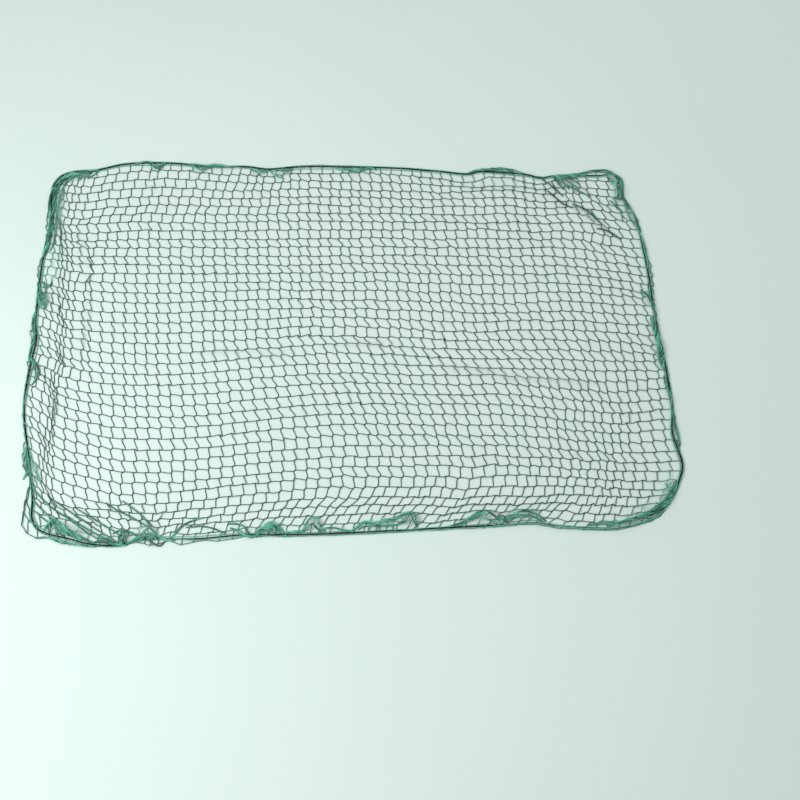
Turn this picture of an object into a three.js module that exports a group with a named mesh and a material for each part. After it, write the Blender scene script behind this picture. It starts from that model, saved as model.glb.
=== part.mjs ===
import * as THREE from 'three';

// A trailer cargo net spread out on the ground: one sheet of netting and the elastic cord round its rim.
// Millimetres, +Z up. The netting's flat underside is at z = 0 and the net is centred on the origin.

// Driving sizes
const NET_THICKNESS = 3;
const CORD_DIAMETER = 6;
const CORD_SIDES = 8;
const CLEARANCE = 0.3;

// The rim: how many stations stand along it, and how they crowd at the folds, lobes and corners. A
// bunch of the given half length gets the full fold crowding, and a little past its ends too
const RIM_STATIONS = 216;
const CROWDING = { fold: 2.6, lobe: 0.8, bend: 3.2, foldHalf: 60, foldEdge: 1.1 };
const FINE_STEPS = 4000;

// A corner is judged over this many fine steps each way, and its sine is scaled by this much
const BEND = { stride: 40, scale: 1.6 };

// Inward at any point of the rim means towards the nearest point of this smaller rectangle
const HEART = { halfX: 1050, halfY: 540 };

// Netting laid flat under the cord, from just outside it to just inside it
const SEAT = { outside: -5.5, inside: 8 };
const MARGIN = 6.5;

// Distances from the cord, inwards, of the rows that carry the rim's folds. Inside them the netting is
// flat again, from a line that zigzags between two distances
const FOLD_ROWS = [17, 30, 47, 68];
const FLAT_LINE = [88, 97];

// The cord's route, chosen by hand, anticlockwise: x, y
const CORD_ROUTE = [
  // lower left corner and bottom edge
  [-1400, -915], [-1360, -970], [-1225, -1010], [-1130, -1035], [-1010, -1040], [-900, -1015],
  [-650, -1010], [-490, -995], [-190, -990], [60, -980], [325, -965], [685, -945],
  [840, -935], [930, -950], [1060, -960], [1195, -960], [1305, -935], [1390, -895],
  // lower right corner and right edge
  [1460, -810], [1500, -725], [1520, -655], [1490, -490], [1500, -370], [1490, -150],
  [1470, 75], [1460, 280], [1440, 515], [1425, 625], [1385, 710], [1365, 815],
  // upper right corner and top edge
  [1365, 930], [1345, 955], [1310, 970], [1260, 960], [1035, 960], [955, 945],
  [885, 965], [690, 985], [635, 985], [585, 970], [445, 985], [240, 1005],
  [-20, 1015], [-275, 1015], [-440, 1000], [-545, 1015], [-735, 1015], [-890, 1035],
  [-1045, 1040], [-1180, 1030], [-1310, 995],
  // upper left corner and left edge
  [-1420, 985], [-1480, 960], [-1510, 920], [-1520, 875], [-1510, 655], [-1520, 425],
  [-1510, 100], [-1495, 0], [-1505, -135], [-1505, -370], [-1450, -625], [-1410, -820],
];

// Bunches of netting heaped inside the cord. Each is named for its place and is centred on the rim
// point nearest x, y. half is its half length along the rim; from, peak and reach are distances from
// the cord of its foot, its top and its far foot; rise is its height over the flat netting.
const BUNCHES = [
  { name: 'upper left side', x: -1505, y: 775, half: 190, from: 8, peak: 30, reach: 80, rise: 10 },
  { name: 'upper left top', x: -1420, y: 985, half: 110, from: 8, peak: 30, reach: 68, rise: 13 },
  { name: 'top far left', x: -1010, y: 1040, half: 46, from: 8, peak: 17, reach: 52, rise: 20 },
  { name: 'top left', x: -780, y: 1020, half: 52, from: 8, peak: 17, reach: 46, rise: 15 },
  { name: 'top left twin a', x: -480, y: 1000, half: 42, from: 8, peak: 17, reach: 44, rise: 14 },
  { name: 'top left twin b', x: -360, y: 1005, half: 52, from: 8, peak: 17, reach: 60, rise: 12 },
  { name: 'top middle', x: 0, y: 1015, half: 100, from: 8, peak: 17, reach: 46, rise: 15 },
  { name: 'top pleat', x: 730, y: 985, half: 220, from: 47, peak: 68, reach: 92, rise: 8 },
  { name: 'top right', x: 1080, y: 960, half: 58, from: 8, peak: 30, reach: 76, rise: 24 },
  { name: 'upper right heap', x: 1345, y: 955, half: 56, from: 8, peak: 30, reach: 76, rise: 16 },
  { name: 'upper right tuft', x: 1365, y: 845, half: 62, from: 8, peak: 17, reach: 60, rise: 28 },
  { name: 'right upper', x: 1460, y: 235, half: 72, from: 8, peak: 17, reach: 50, rise: 16 },
  { name: 'right middle', x: 1490, y: -80, half: 96, from: 8, peak: 17, reach: 47, rise: 18 },
  { name: 'lower right side', x: 1475, y: -775, half: 110, from: 8, peak: 30, reach: 70, rise: 20 },
  { name: 'lower right corner', x: 1375, y: -905, half: 125, from: 8, peak: 30, reach: 90, rise: 30 },
  { name: 'lower right foot', x: 1240, y: -950, half: 120, from: 8, peak: 17, reach: 60, rise: 18 },
  { name: 'bottom right', x: 780, y: -940, half: 95, from: 8, peak: 47, reach: 86, rise: 24 },
  { name: 'bottom right tent', x: 610, y: -950, half: 86, from: 8, peak: 47, reach: 92, rise: 28 },
  { name: 'bottom middle tent', x: 285, y: -965, half: 62, from: 8, peak: 47, reach: 92, rise: 26 },
  { name: 'bottom middle roll', x: 155, y: -975, half: 86, from: 8, peak: 47, reach: 76, rise: 15 },
  { name: 'bottom low roll', x: -30, y: -985, half: 100, from: 8, peak: 17, reach: 46, rise: 8 },
  { name: 'bottom left tent', x: -150, y: -990, half: 50, from: 8, peak: 47, reach: 90, rise: 30 },
  { name: 'bottom left heap', x: -335, y: -995, half: 62, from: 8, peak: 30, reach: 76, rise: 24 },
  { name: 'bottom left knuckle', x: -425, y: -1000, half: 42, from: 8, peak: 17, reach: 44, rise: 12 },
  { name: 'bottom far left tent', x: -880, y: -1015, half: 60, from: 8, peak: 30, reach: 86, rise: 32 },
  { name: 'bottom far left fold', x: -980, y: -1035, half: 36, from: 8, peak: 30, reach: 76, rise: 20 },
  { name: 'bottom far left roll', x: -1070, y: -1040, half: 60, from: 8, peak: 17, reach: 60, rise: 12 },
  { name: 'lower left heap', x: -1240, y: -1005, half: 130, from: 8, peak: 30, reach: 86, rise: 28 },
  { name: 'left lower', x: -1445, y: -680, half: 62, from: 8, peak: 17, reach: 46, rise: 10 },
  { name: 'left middle', x: -1505, y: -170, half: 62, from: 8, peak: 17, reach: 46, rise: 20 },
  { name: 'left upper', x: -1515, y: 215, half: 54, from: 8, peak: 30, reach: 60, rise: 20 },
  { name: 'left pleat', x: -1515, y: 405, half: 140, from: 30, peak: 47, reach: 92, rise: 8 },
];

// Netting that lies outside the cord, past the plain margin: width past the margin at the middle,
// rise at its outer edge
const LOBES = [
  { name: 'lower left corner', x: -1400, y: -900, half: 210, width: 50, rise: 5 },
  { name: 'lower left foot', x: -1250, y: -1005, half: 130, width: 22, rise: 5 },
  { name: 'bottom far left', x: -855, y: -1015, half: 70, width: 24, rise: 4 },
  { name: 'bottom left', x: -720, y: -1020, half: 80, width: 20, rise: 3 },
  { name: 'bottom left narrow', x: -545, y: -995, half: 90, width: 14, rise: 2 },
  { name: 'right lower', x: 1495, y: -475, half: 110, width: 16, rise: 3 },
  { name: 'right upper', x: 1445, y: 390, half: 170, width: 12, rise: 2 },
  { name: 'upper right side', x: 1395, y: 700, half: 110, width: 24, rise: 4 },
  { name: 'upper right top', x: 1230, y: 960, half: 120, width: 24, rise: 4 },
  { name: 'top right', x: 760, y: 980, half: 160, width: 24, rise: 4 },
  { name: 'top left', x: -725, y: 1020, half: 100, width: 10, rise: 2 },
  { name: 'left top', x: -1510, y: 680, half: 110, width: 16, rise: 3 },
  { name: 'left upper', x: -1520, y: 405, half: 120, width: 10, rise: 2 },
  { name: 'left middle', x: -1500, y: 30, half: 130, width: 22, rise: 4 },
  { name: 'left lower middle', x: -1510, y: -105, half: 70, width: 14, rise: 2 },
  { name: 'left lower', x: -1450, y: -620, half: 110, width: 24, rise: 5 },
];

// Pleats across the flat middle, each a soft ridge from x0, y0 to x1, y1 that bows sideways by bow.
// The pinched ones run down a column of meshes that is drawn together
const PLEATS = [
  { name: 'pinched top', x0: -1375, y0: 650, x1: -1280, y1: 315, bow: 8, halfWidth: 26, rise: 9 },
  { name: 'pinched middle', x0: -1275, y0: 275, x1: -1285, y1: -95, bow: 12, halfWidth: 24, rise: 9 },
  { name: 'pinched foot', x0: -1380, y0: -280, x1: -1360, y1: -435, bow: 6, halfWidth: 20, rise: 7 },
  { name: 'left band', x0: -740, y0: -65, x1: -190, y1: -60, bow: -10, halfWidth: 34, rise: 8 },
  { name: 'middle band', x0: -135, y0: -45, x1: 250, y1: -25, bow: 14, halfWidth: 30, rise: 7 },
  { name: 'right band', x0: 380, y0: -115, x1: 1170, y1: -240, bow: -18, halfWidth: 38, rise: 8 },
  { name: 'upper right slant', x0: 1075, y0: 810, x1: 1280, y1: 605, bow: 12, halfWidth: 22, rise: 10 },
  { name: 'lower left slant', x0: -1120, y0: -830, x1: -1000, y1: -895, bow: -6, halfWidth: 18, rise: 8 },
];
const PLEAT_STATIONS = 10;
const PLEAT_ROWS = [-1, -0.5, 0, 0.5, 1];
const PLEAT_TIP = 0.35;

// Height of a swell that is 1 at its middle and runs out level at distance 1 on both sides
function swell(distance) {
  return Math.abs(distance) < 1 ? Math.cos(0.5 * Math.PI * distance) ** 2 : 0;
}

// The rim as a measured loop: fine points with their length along the cord, and the total length
function measureRim() {
  const knots = CORD_ROUTE.map(([x, y]) => new THREE.Vector3(x, y, 0));
  const curve = new THREE.CatmullRomCurve3(knots, true, 'centripetal');
  const points = curve.getPoints(FINE_STEPS).slice(0, FINE_STEPS);
  const along = [0];
  for (let i = 1; i <= FINE_STEPS; i += 1) {
    along.push(along[i - 1] + points[i % FINE_STEPS].distanceTo(points[i - 1]));
  }
  return { points, along, length: along[FINE_STEPS] };
}

// Length along the rim of its point nearest to x, y
function nearestAlong(rim, { x, y }) {
  let best = 0;
  rim.points.forEach((point, i) => {
    const here = Math.hypot(point.x - x, point.y - y);
    const kept = Math.hypot(rim.points[best].x - x, rim.points[best].y - y);
    if (here < kept) best = i;
  });
  return rim.along[best];
}

// A table of rim features, each with its centre as a length along the rim
function placeOnRim(rim, table) {
  return table.map((row) => ({ ...row, centre: nearestAlong(rim, row) }));
}

// Distance from a feature's centre along the closed rim, in half lengths
function reachAlong(rim, feature, along) {
  const gap = Math.abs(along - feature.centre);
  return Math.min(gap, rim.length - gap) / feature.half;
}

// How strongly the rim bends at fine point i, from 0 on a straight run to 1 in a tight corner
function bendAt(rim, i) {
  const before = rim.points[(i - BEND.stride + FINE_STEPS) % FINE_STEPS];
  const after = rim.points[(i + BEND.stride) % FINE_STEPS];
  const here = rim.points[i];
  const incoming = new THREE.Vector2(here.x - before.x, here.y - before.y);
  const outgoing = new THREE.Vector2(after.x - here.x, after.y - here.y);
  const turn = Math.abs(incoming.cross(outgoing)) / (incoming.length() * outgoing.length());
  return Math.min(1, turn * BEND.scale);
}

// Stations along the rim, crowded where folds, lobes and corners need them
function placeStations(rim, bunches, lobes) {
  const weight = [0];
  for (let i = 0; i < FINE_STEPS; i += 1) {
    const along = rim.along[i];
    const folds = bunches.filter((bunch) => reachAlong(rim, bunch, along) < CROWDING.foldEdge);
    const fold = Math.max(0, ...folds.map((bunch) => CROWDING.foldHalf / bunch.half));
    const lobe = Math.max(...lobes.map((row) => swell(reachAlong(rim, row, along))));
    const density = 1 + CROWDING.fold * fold + CROWDING.lobe * lobe + CROWDING.bend * bendAt(rim, i);
    weight.push(weight[i] + density * (rim.along[i + 1] - along));
  }
  const stations = [];
  let i = 0;
  for (let k = 0; k < RIM_STATIONS; k += 1) {
    const target = (k / RIM_STATIONS) * weight[FINE_STEPS];
    while (weight[i + 1] <= target) i += 1;
    stations.push({ x: rim.points[i].x, y: rim.points[i].y, along: rim.along[i] });
  }
  return stations;
}

// Unit direction from a rim point towards the heart rectangle
function inwardFrom({ x, y }) {
  const heartX = THREE.MathUtils.clamp(x, -HEART.halfX, HEART.halfX);
  const heartY = THREE.MathUtils.clamp(y, -HEART.halfY, HEART.halfY);
  const length = Math.hypot(heartX - x, heartY - y);
  return { x: (heartX - x) / length, y: (heartY - y) / length };
}

// Height of the heaped netting at a station and a distance inwards from the cord
function bunchHeight(rim, bunches, along, inwards) {
  let height = 0;
  for (const bunch of bunches) {
    const side = inwards < bunch.peak ? bunch.peak - bunch.from : bunch.reach - bunch.peak;
    const across = swell((inwards - bunch.peak) / side);
    height = Math.max(height, bunch.rise * across * swell(reachAlong(rim, bunch, along)));
  }
  return height;
}

// The width of netting outside the cord at a station, and how far its outer edge lifts
function lobeAt(rim, lobes, along) {
  let width = 0;
  let rise = 0;
  for (const lobe of lobes) {
    const share = swell(reachAlong(rim, lobe, along));
    width = Math.max(width, lobe.width * share);
    rise = Math.max(rise, lobe.rise * share);
  }
  return { width: MARGIN + width, rise };
}

// Collects points of the netting's upper face, and triangles that face up
class SheetFace {
  constructor() {
    this.points = [];
    this.triangles = [];
  }

  addPoint(x, y, height) {
    this.points.push({ x, y, height });
    return this.points.length - 1;
  }

  addTriangle(a, b, c) {
    const [p, q, r] = [this.points[a], this.points[b], this.points[c]];
    const turn = (q.x - p.x) * (r.y - p.y) - (q.y - p.y) * (r.x - p.x);
    this.triangles.push(turn > 0 ? [a, b, c] : [a, c, b]);
  }

  addQuad(a, b, c, d) {
    this.addTriangle(a, b, c);
    this.addTriangle(a, c, d);
  }
}

// The band of netting along the rim; returns its outermost and innermost loops of points
function addRimBand(face, rim, stations, bunches, lobes) {
  const rows = stations.map((station, k) => {
    const inward = inwardFrom(station);
    const lobe = lobeAt(rim, lobes, station.along);
    const place = (inwards, height) => {
      return face.addPoint(station.x + inward.x * inwards, station.y + inward.y * inwards, height);
    };
    const folds = FOLD_ROWS.map((inwards) => {
      return place(inwards, bunchHeight(rim, bunches, station.along, inwards));
    });
    return [
      place(-lobe.width, lobe.rise),
      place(SEAT.outside, 0),
      place(SEAT.inside, 0),
      ...folds,
      place(FLAT_LINE[k % FLAT_LINE.length], 0),
    ];
  });
  rows.forEach((row, k) => {
    const next = rows[(k + 1) % rows.length];
    for (let j = 0; j + 1 < row.length; j += 1) {
      face.addQuad(row[j], next[j], next[j + 1], row[j + 1]);
    }
  });
  return { outer: rows.map((row) => row[0]), inner: rows.map((row) => row[row.length - 1]) };
}

// One pleat as a small grid of its own, with rounded ends; returns its flat outline
function addPleat(face, pleat) {
  const start = new THREE.Vector2(pleat.x0, pleat.y0);
  const end = new THREE.Vector2(pleat.x1, pleat.y1);
  const ahead = end.clone().sub(start).normalize();
  const side = new THREE.Vector2(-ahead.y, ahead.x);
  const middle = start.clone().add(end).multiplyScalar(0.5).addScaledVector(side, 2 * pleat.bow);
  const path = new THREE.QuadraticBezierCurve(start, middle, end);
  const rows = [];
  for (let k = 0; k <= PLEAT_STATIONS; k += 1) {
    const t = k / PLEAT_STATIONS;
    const centre = path.getPoint(t);
    const atTip = k % PLEAT_STATIONS === 0;
    const taper = atTip ? 0 : Math.sqrt(Math.sin(Math.PI * t));
    const half = pleat.halfWidth * (PLEAT_TIP + (1 - PLEAT_TIP) * taper);
    rows.push(PLEAT_ROWS.map((across) => {
      const nose = atTip ? (2 * t - 1) * half * Math.cos(0.5 * Math.PI * across) : 0;
      const spot = centre.clone().addScaledVector(side, across * half).addScaledVector(ahead, nose);
      return face.addPoint(spot.x, spot.y, pleat.rise * taper * swell(across));
    }));
  }
  for (let k = 0; k < PLEAT_STATIONS; k += 1) {
    for (let j = 0; j + 1 < PLEAT_ROWS.length; j += 1) {
      face.addQuad(rows[k][j], rows[k + 1][j], rows[k + 1][j + 1], rows[k][j + 1]);
    }
  }
  const last = PLEAT_ROWS.length - 1;
  const near = rows.map((row) => row[0]);
  const far = rows.map((row) => row[last]).reverse();
  const tipEnd = rows[PLEAT_STATIONS].slice(1, last);
  const tipStart = rows[0].slice(1, last).reverse();
  return [...near, ...tipEnd, ...far, ...tipStart];
}

// The flat middle: everything inside the rim band that no pleat takes up
function addFlatMiddle(face, contour, holes) {
  const toVector = (index) => new THREE.Vector2(face.points[index].x, face.points[index].y);
  const toVectors = (loop) => loop.map(toVector);
  const order = [contour, ...holes].flat();
  const triangles = THREE.ShapeUtils.triangulateShape(toVectors(contour), holes.map(toVectors));
  triangles.forEach(([a, b, c]) => face.addTriangle(order[a], order[b], order[c]));
}

// Closes the upper face into a sheet of even thickness: an equal face below it and a wall round the edge
function thickenSheet(face, edge) {
  const count = face.points.length;
  const positions = [];
  face.points.forEach(({ x, y, height }) => positions.push(x, y, height + NET_THICKNESS));
  face.points.forEach(({ x, y, height }) => positions.push(x, y, height));
  const index = [];
  face.triangles.forEach(([a, b, c]) => index.push(a, b, c, a + count, c + count, b + count));
  edge.forEach((a, k) => {
    const b = edge[(k + 1) % edge.length];
    index.push(a + count, b + count, b, a + count, b, a);
  });
  const geometry = new THREE.BufferGeometry();
  geometry.setAttribute('position', new THREE.Float32BufferAttribute(positions, 3));
  geometry.setIndex(index);
  geometry.computeVertexNormals();
  return geometry;
}

// The netting as one sheet with its rim folds, lobes and pleats
function makeNetting(rim, stations, bunches, lobes) {
  const face = new SheetFace();
  const band = addRimBand(face, rim, stations, bunches, lobes);
  const holes = PLEATS.map((pleat) => addPleat(face, pleat));
  addFlatMiddle(face, band.inner, holes);
  return thickenSheet(face, band.outer);
}

// The rim cord: a closed loop through every second station, lying on the netting
function makeCord(stations) {
  const radius = CORD_DIAMETER / 2;
  const height = NET_THICKNESS + CLEARANCE + radius;
  const centres = stations.filter((station, k) => k % 2 === 0);
  const positions = [];
  const index = [];
  centres.forEach((centre, k) => {
    const before = centres[(k - 1 + centres.length) % centres.length];
    const after = centres[(k + 1) % centres.length];
    const side = new THREE.Vector2(after.y - before.y, before.x - after.x).normalize();
    for (let j = 0; j < CORD_SIDES; j += 1) {
      const angle = (j / CORD_SIDES) * 2 * Math.PI;
      const out = radius * Math.cos(angle);
      positions.push(centre.x + side.x * out, centre.y + side.y * out, height + radius * Math.sin(angle));
    }
    const ring = k * CORD_SIDES;
    const nextRing = ((k + 1) % centres.length) * CORD_SIDES;
    for (let j = 0; j < CORD_SIDES; j += 1) {
      const up = (j + 1) % CORD_SIDES;
      index.push(ring + j, nextRing + j, nextRing + up, ring + j, nextRing + up, ring + up);
    }
  });
  const geometry = new THREE.BufferGeometry();
  geometry.setAttribute('position', new THREE.Float32BufferAttribute(positions, 3));
  geometry.setIndex(index);
  geometry.computeVertexNormals();
  return geometry;
}

const rim = measureRim();
const bunches = placeOnRim(rim, BUNCHES);
const lobes = placeOnRim(rim, LOBES);
const stations = placeStations(rim, bunches, lobes);

const yarnGreen = new THREE.MeshStandardMaterial({ color: 0x2c6f5b, roughness: 0.7, metalness: 0 });
yarnGreen.name = 'green_yarn';
const cordBlack = new THREE.MeshStandardMaterial({ color: 0x121614, roughness: 0.6, metalness: 0 });
cordBlack.name = 'black_cord';

const netting = new THREE.Mesh(makeNetting(rim, stations, bunches, lobes), yarnGreen);
netting.name = 'netting';
const borderCord = new THREE.Mesh(makeCord(stations), cordBlack);
borderCord.name = 'border_cord';

// The outline isn't quite even, so the whole net is moved to centre its box on the origin
netting.geometry.computeBoundingBox();
const centre = netting.geometry.boundingBox.getCenter(new THREE.Vector3());
const net = new THREE.Group();
net.add(netting, borderCord);
net.position.set(-centre.x, -centre.y, 0);

const part = new THREE.Group();
part.add(net);

export default part;
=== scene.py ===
"""Looks of a trailer cargo net spread out on the ground, made yarn by yarn, with its elastic rim cord.

Metres, +Z up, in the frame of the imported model. The netting is a lattice of meshes: its crossings are
laid out first, on the ideal grid, then drawn to the rim, pleated, pinched, jostled and relaxed, which
shortens the sides of meshes that are longer than their yarn. Yarns are tubes that meet at knotless
joints, where two of them run side by side for a short way. Where the netting is gathered on the cord,
ropes of closed-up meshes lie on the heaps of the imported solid.
"""

import logging
import math
from dataclasses import dataclass, field
from enum import Enum

import bpy
import numpy as np
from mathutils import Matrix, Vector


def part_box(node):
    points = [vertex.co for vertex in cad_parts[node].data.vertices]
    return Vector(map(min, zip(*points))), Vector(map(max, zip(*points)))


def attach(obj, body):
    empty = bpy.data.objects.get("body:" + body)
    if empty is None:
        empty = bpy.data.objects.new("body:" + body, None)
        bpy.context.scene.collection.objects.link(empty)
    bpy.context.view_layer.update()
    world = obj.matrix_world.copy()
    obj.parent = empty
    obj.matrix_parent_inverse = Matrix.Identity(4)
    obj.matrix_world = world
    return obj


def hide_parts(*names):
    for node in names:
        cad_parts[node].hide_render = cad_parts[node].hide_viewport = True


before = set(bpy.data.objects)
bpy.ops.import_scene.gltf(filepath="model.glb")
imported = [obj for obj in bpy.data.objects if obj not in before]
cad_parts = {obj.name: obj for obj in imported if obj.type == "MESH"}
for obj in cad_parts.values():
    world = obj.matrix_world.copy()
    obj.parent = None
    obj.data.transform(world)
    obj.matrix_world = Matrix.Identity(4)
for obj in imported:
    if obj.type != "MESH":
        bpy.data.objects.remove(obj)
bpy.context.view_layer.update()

log = logging.getLogger("cargo_net")

BODY = "root"
SEED = 20

MM = 0.001

# The cord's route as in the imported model, millimetres, anticlockwise: x, y
CORD_ROUTE = [
    # lower left corner and bottom edge
    (-1400, -915), (-1360, -970), (-1225, -1010), (-1130, -1035), (-1010, -1040), (-900, -1015),
    (-650, -1010), (-490, -995), (-190, -990), (60, -980), (325, -965), (685, -945),
    (840, -935), (930, -950), (1060, -960), (1195, -960), (1305, -935), (1390, -895),
    # lower right corner and right edge
    (1460, -810), (1500, -725), (1520, -655), (1490, -490), (1500, -370), (1490, -150),
    (1470, 75), (1460, 280), (1440, 515), (1425, 625), (1385, 710), (1365, 815),
    # upper right corner and top edge
    (1365, 930), (1345, 955), (1310, 970), (1260, 960), (1035, 960), (955, 945),
    (885, 965), (690, 985), (635, 985), (585, 970), (445, 985), (240, 1005),
    (-20, 1015), (-275, 1015), (-440, 1000), (-545, 1015), (-735, 1015), (-890, 1035),
    (-1045, 1040), (-1180, 1030), (-1310, 995),
    # upper left corner and left edge
    (-1420, 985), (-1480, 960), (-1510, 920), (-1520, 875), (-1510, 655), (-1520, 425),
    (-1510, 100), (-1495, 0), (-1505, -135), (-1505, -370), (-1450, -625), (-1410, -820),
]


class Slot(Enum):
    """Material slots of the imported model."""

    YARN = "green_yarn"
    CORD = "black_cord"


class Solid(Enum):
    """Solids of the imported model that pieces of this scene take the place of."""

    NETTING = "netting"
    CORD = "border_cord"


def dress(piece: bpy.types.Object, finish: bpy.types.Material, solid: Solid) -> None:
    """Gives a piece its material and hands it to the body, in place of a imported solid.

    Args:
        piece: The mesh object, already in place.
        finish: Its material.
        solid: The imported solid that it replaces, or replaces a share of.
    """
    piece.data.materials.append(finish)
    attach(piece, BODY)
    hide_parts(solid.value)


def swell(distance: np.ndarray) -> np.ndarray:
    """Squared cosine: 1 at distance 0, running out level at distance 1 on both sides."""
    return np.where(np.abs(distance) < 1, np.cos(0.5 * np.pi * np.asarray(distance)) ** 2, 0.0)


def soft_step(distance: np.ndarray) -> np.ndarray:
    """Rises smoothly from 0 at distance -1 to 1 at distance 1 by the cubic 3t2 - 2t3."""
    t = np.clip(0.5 * (np.asarray(distance) + 1), 0, 1)
    return t * t * (3 - 2 * t)


def soft_noise(rng: np.random.Generator, shape: tuple[int, ...], reach: tuple[float, ...]) -> np.ndarray:
    """Random grid blurred by a Gaussian and scaled to unit spread.

    Args:
        rng: The seeded source of randomness.
        shape: The grid's size.
        reach: The blur's standard deviation along each axis, in cells.

    Returns:
        The grid, with mean about 0 and standard deviation 1.
    """
    spectrum = np.fft.fftn(rng.normal(size=shape))
    for axis, (count, sigma) in enumerate(zip(shape, reach)):
        wave = np.fft.fftfreq(count).reshape([-1 if k == axis else 1 for k in range(len(shape))])
        spectrum = spectrum * np.exp(-2 * (np.pi * wave * sigma) ** 2)
    grid = np.fft.ifftn(spectrum).real
    return grid / grid.std()


@dataclass(frozen=True)
class Bunch:
    """Netting heaped inside the cord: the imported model's row in millimetres, with its share of meshes.

    half is its half length along the rim; foot, peak and reach are distances from the cord; rise is its
    height over the flat netting; meshes is how many meshes more than an even spread are drawn into it.
    """

    name: str
    x: float
    y: float
    half: float
    foot: float
    peak: float
    reach: float
    rise: float
    meshes: float = 0.3


@dataclass(frozen=True)
class Lobe:
    """Netting outside the cord: centre, half length along the rim, extra width and lift, millimetres."""

    name: str
    x: float
    y: float
    half: float
    width: float
    rise: float


@dataclass(frozen=True)
class Pleat:
    """A soft ridge from x0, y0 to x1, y1 that bows sideways, all in millimetres.

    rise is its height, and draw is how much netting its two sides have drawn together there.
    """

    name: str
    x0: float
    y0: float
    x1: float
    y1: float
    bow: float
    half_width: float
    rise: float
    draw: float

    def measure(self, spots: np.ndarray) -> tuple[np.ndarray, np.ndarray, np.ndarray]:
        """Where spots lie against the pleat's quadratic curve.

        Args:
            spots: Points of shape (n, 2), metres.

        Returns:
            The share of the way along, the signed distance to the left in metres, and the unit vector
            to the left of the curve at the nearest place.
        """
        start, end = np.array([self.x0, self.y0]) * MM, np.array([self.x1, self.y1]) * MM
        ahead = (end - start) / np.linalg.norm(end - start)
        side = np.array([-ahead[1], ahead[0]])
        middle = 0.5 * (start + end) + side * 2 * self.bow * MM
        t = np.linspace(0, 1, 41)[:, None]
        curve = (1 - t) ** 2 * start + 2 * t * (1 - t) * middle + t ** 2 * end
        tangent = np.gradient(curve, axis=0)
        tangent /= np.linalg.norm(tangent, axis=1, keepdims=True)
        nearest = ((spots[:, None, :] - curve[None]) ** 2).sum(-1).argmin(1)
        left = np.stack([-tangent[nearest, 1], tangent[nearest, 0]], -1)
        offset = spots - curve[nearest]
        beyond = (offset * tangent[nearest]).sum(-1) / np.linalg.norm(end - start)
        return t[nearest, 0] + beyond, (offset * left).sum(-1), left


@dataclass(frozen=True)
class Rope:
    """Meshes drawn up to a rope along the rim.

    meshes is how many closed-up meshes lie side by side in it, and width is how broad it is at its
    middle, in millimetres. picture is its line as x, y in the photograph's picture, which is 800 wide and
    high. gathered is 1 for a thick rope and less where the meshes are closed but lie apart; it sets how
    much painted light of heaped yarn the strands get.
    """

    name: str
    meshes: int
    width: float
    picture: tuple[tuple[float, float], ...]
    gathered: float = 1.0


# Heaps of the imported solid, and the meshes that each one draws in
BUNCHES = [
    Bunch("upper left side", -1505, 775, 190, 8, 30, 80, 10, 0.9),
    Bunch("upper left top", -1420, 985, 110, 8, 30, 68, 13, 3.4),
    Bunch("top far left", -1010, 1040, 46, 8, 17, 52, 20, 0.4),
    Bunch("top left", -780, 1020, 52, 8, 17, 46, 15, 0.3),
    Bunch("top left twin a", -480, 1000, 42, 8, 17, 44, 14, 0.4),
    Bunch("top left twin b", -360, 1005, 52, 8, 17, 60, 12, 0.5),
    Bunch("top middle", 0, 1015, 100, 8, 17, 46, 15, 0.5),
    Bunch("top pleat", 730, 985, 220, 47, 68, 92, 8, 0.3),
    Bunch("top right", 1080, 960, 58, 8, 30, 76, 24, 0.8),
    Bunch("upper right heap", 1345, 955, 56, 8, 30, 76, 16, 0.6),
    Bunch("upper right tuft", 1365, 845, 62, 8, 17, 60, 28, 0.6),
    Bunch("right upper", 1460, 235, 72, 8, 17, 50, 16, 0.7),
    Bunch("right middle", 1490, -80, 96, 8, 17, 47, 18, 0.8),
    Bunch("lower right side", 1475, -775, 110, 8, 30, 70, 20, 0.8),
    Bunch("lower right corner", 1375, -905, 125, 8, 30, 90, 30, 0.8),
    Bunch("lower right foot", 1240, -950, 120, 8, 17, 60, 18, 0.4),
    Bunch("bottom right", 780, -940, 95, 8, 47, 86, 24, 0.6),
    Bunch("bottom right tent", 610, -950, 86, 8, 47, 92, 28, 0.8),
    Bunch("bottom middle tent", 285, -965, 62, 8, 47, 92, 26, 0.6),
    Bunch("bottom middle roll", 155, -975, 86, 8, 47, 76, 15, 0.4),
    Bunch("bottom low roll", -30, -985, 100, 8, 17, 46, 8, 0.2),
    Bunch("bottom left tent", -150, -990, 50, 8, 47, 90, 30, 0.5),
    Bunch("bottom left heap", -335, -995, 62, 8, 30, 76, 24, 0.5),
    Bunch("bottom left knuckle", -425, -1000, 42, 8, 17, 44, 12, 0.3),
    Bunch("bottom far left tent", -880, -1015, 60, 8, 30, 86, 32, 1.3),
    Bunch("bottom far left fold", -980, -1035, 36, 8, 30, 76, 20, 0.6),
    Bunch("bottom far left roll", -1070, -1040, 60, 8, 17, 60, 12, 0.6),
    Bunch("lower left heap", -1240, -1005, 130, 8, 30, 86, 28, 0.8),
    Bunch("left lower", -1445, -680, 62, 8, 17, 46, 10, 0.5),
    Bunch("left middle", -1505, -170, 62, 8, 17, 46, 20, 0.6),
    Bunch("left upper", -1515, 215, 54, 8, 30, 60, 20, 0.8),
    Bunch("left pleat", -1515, 405, 140, 30, 47, 92, 8, 0.5),
]

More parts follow.
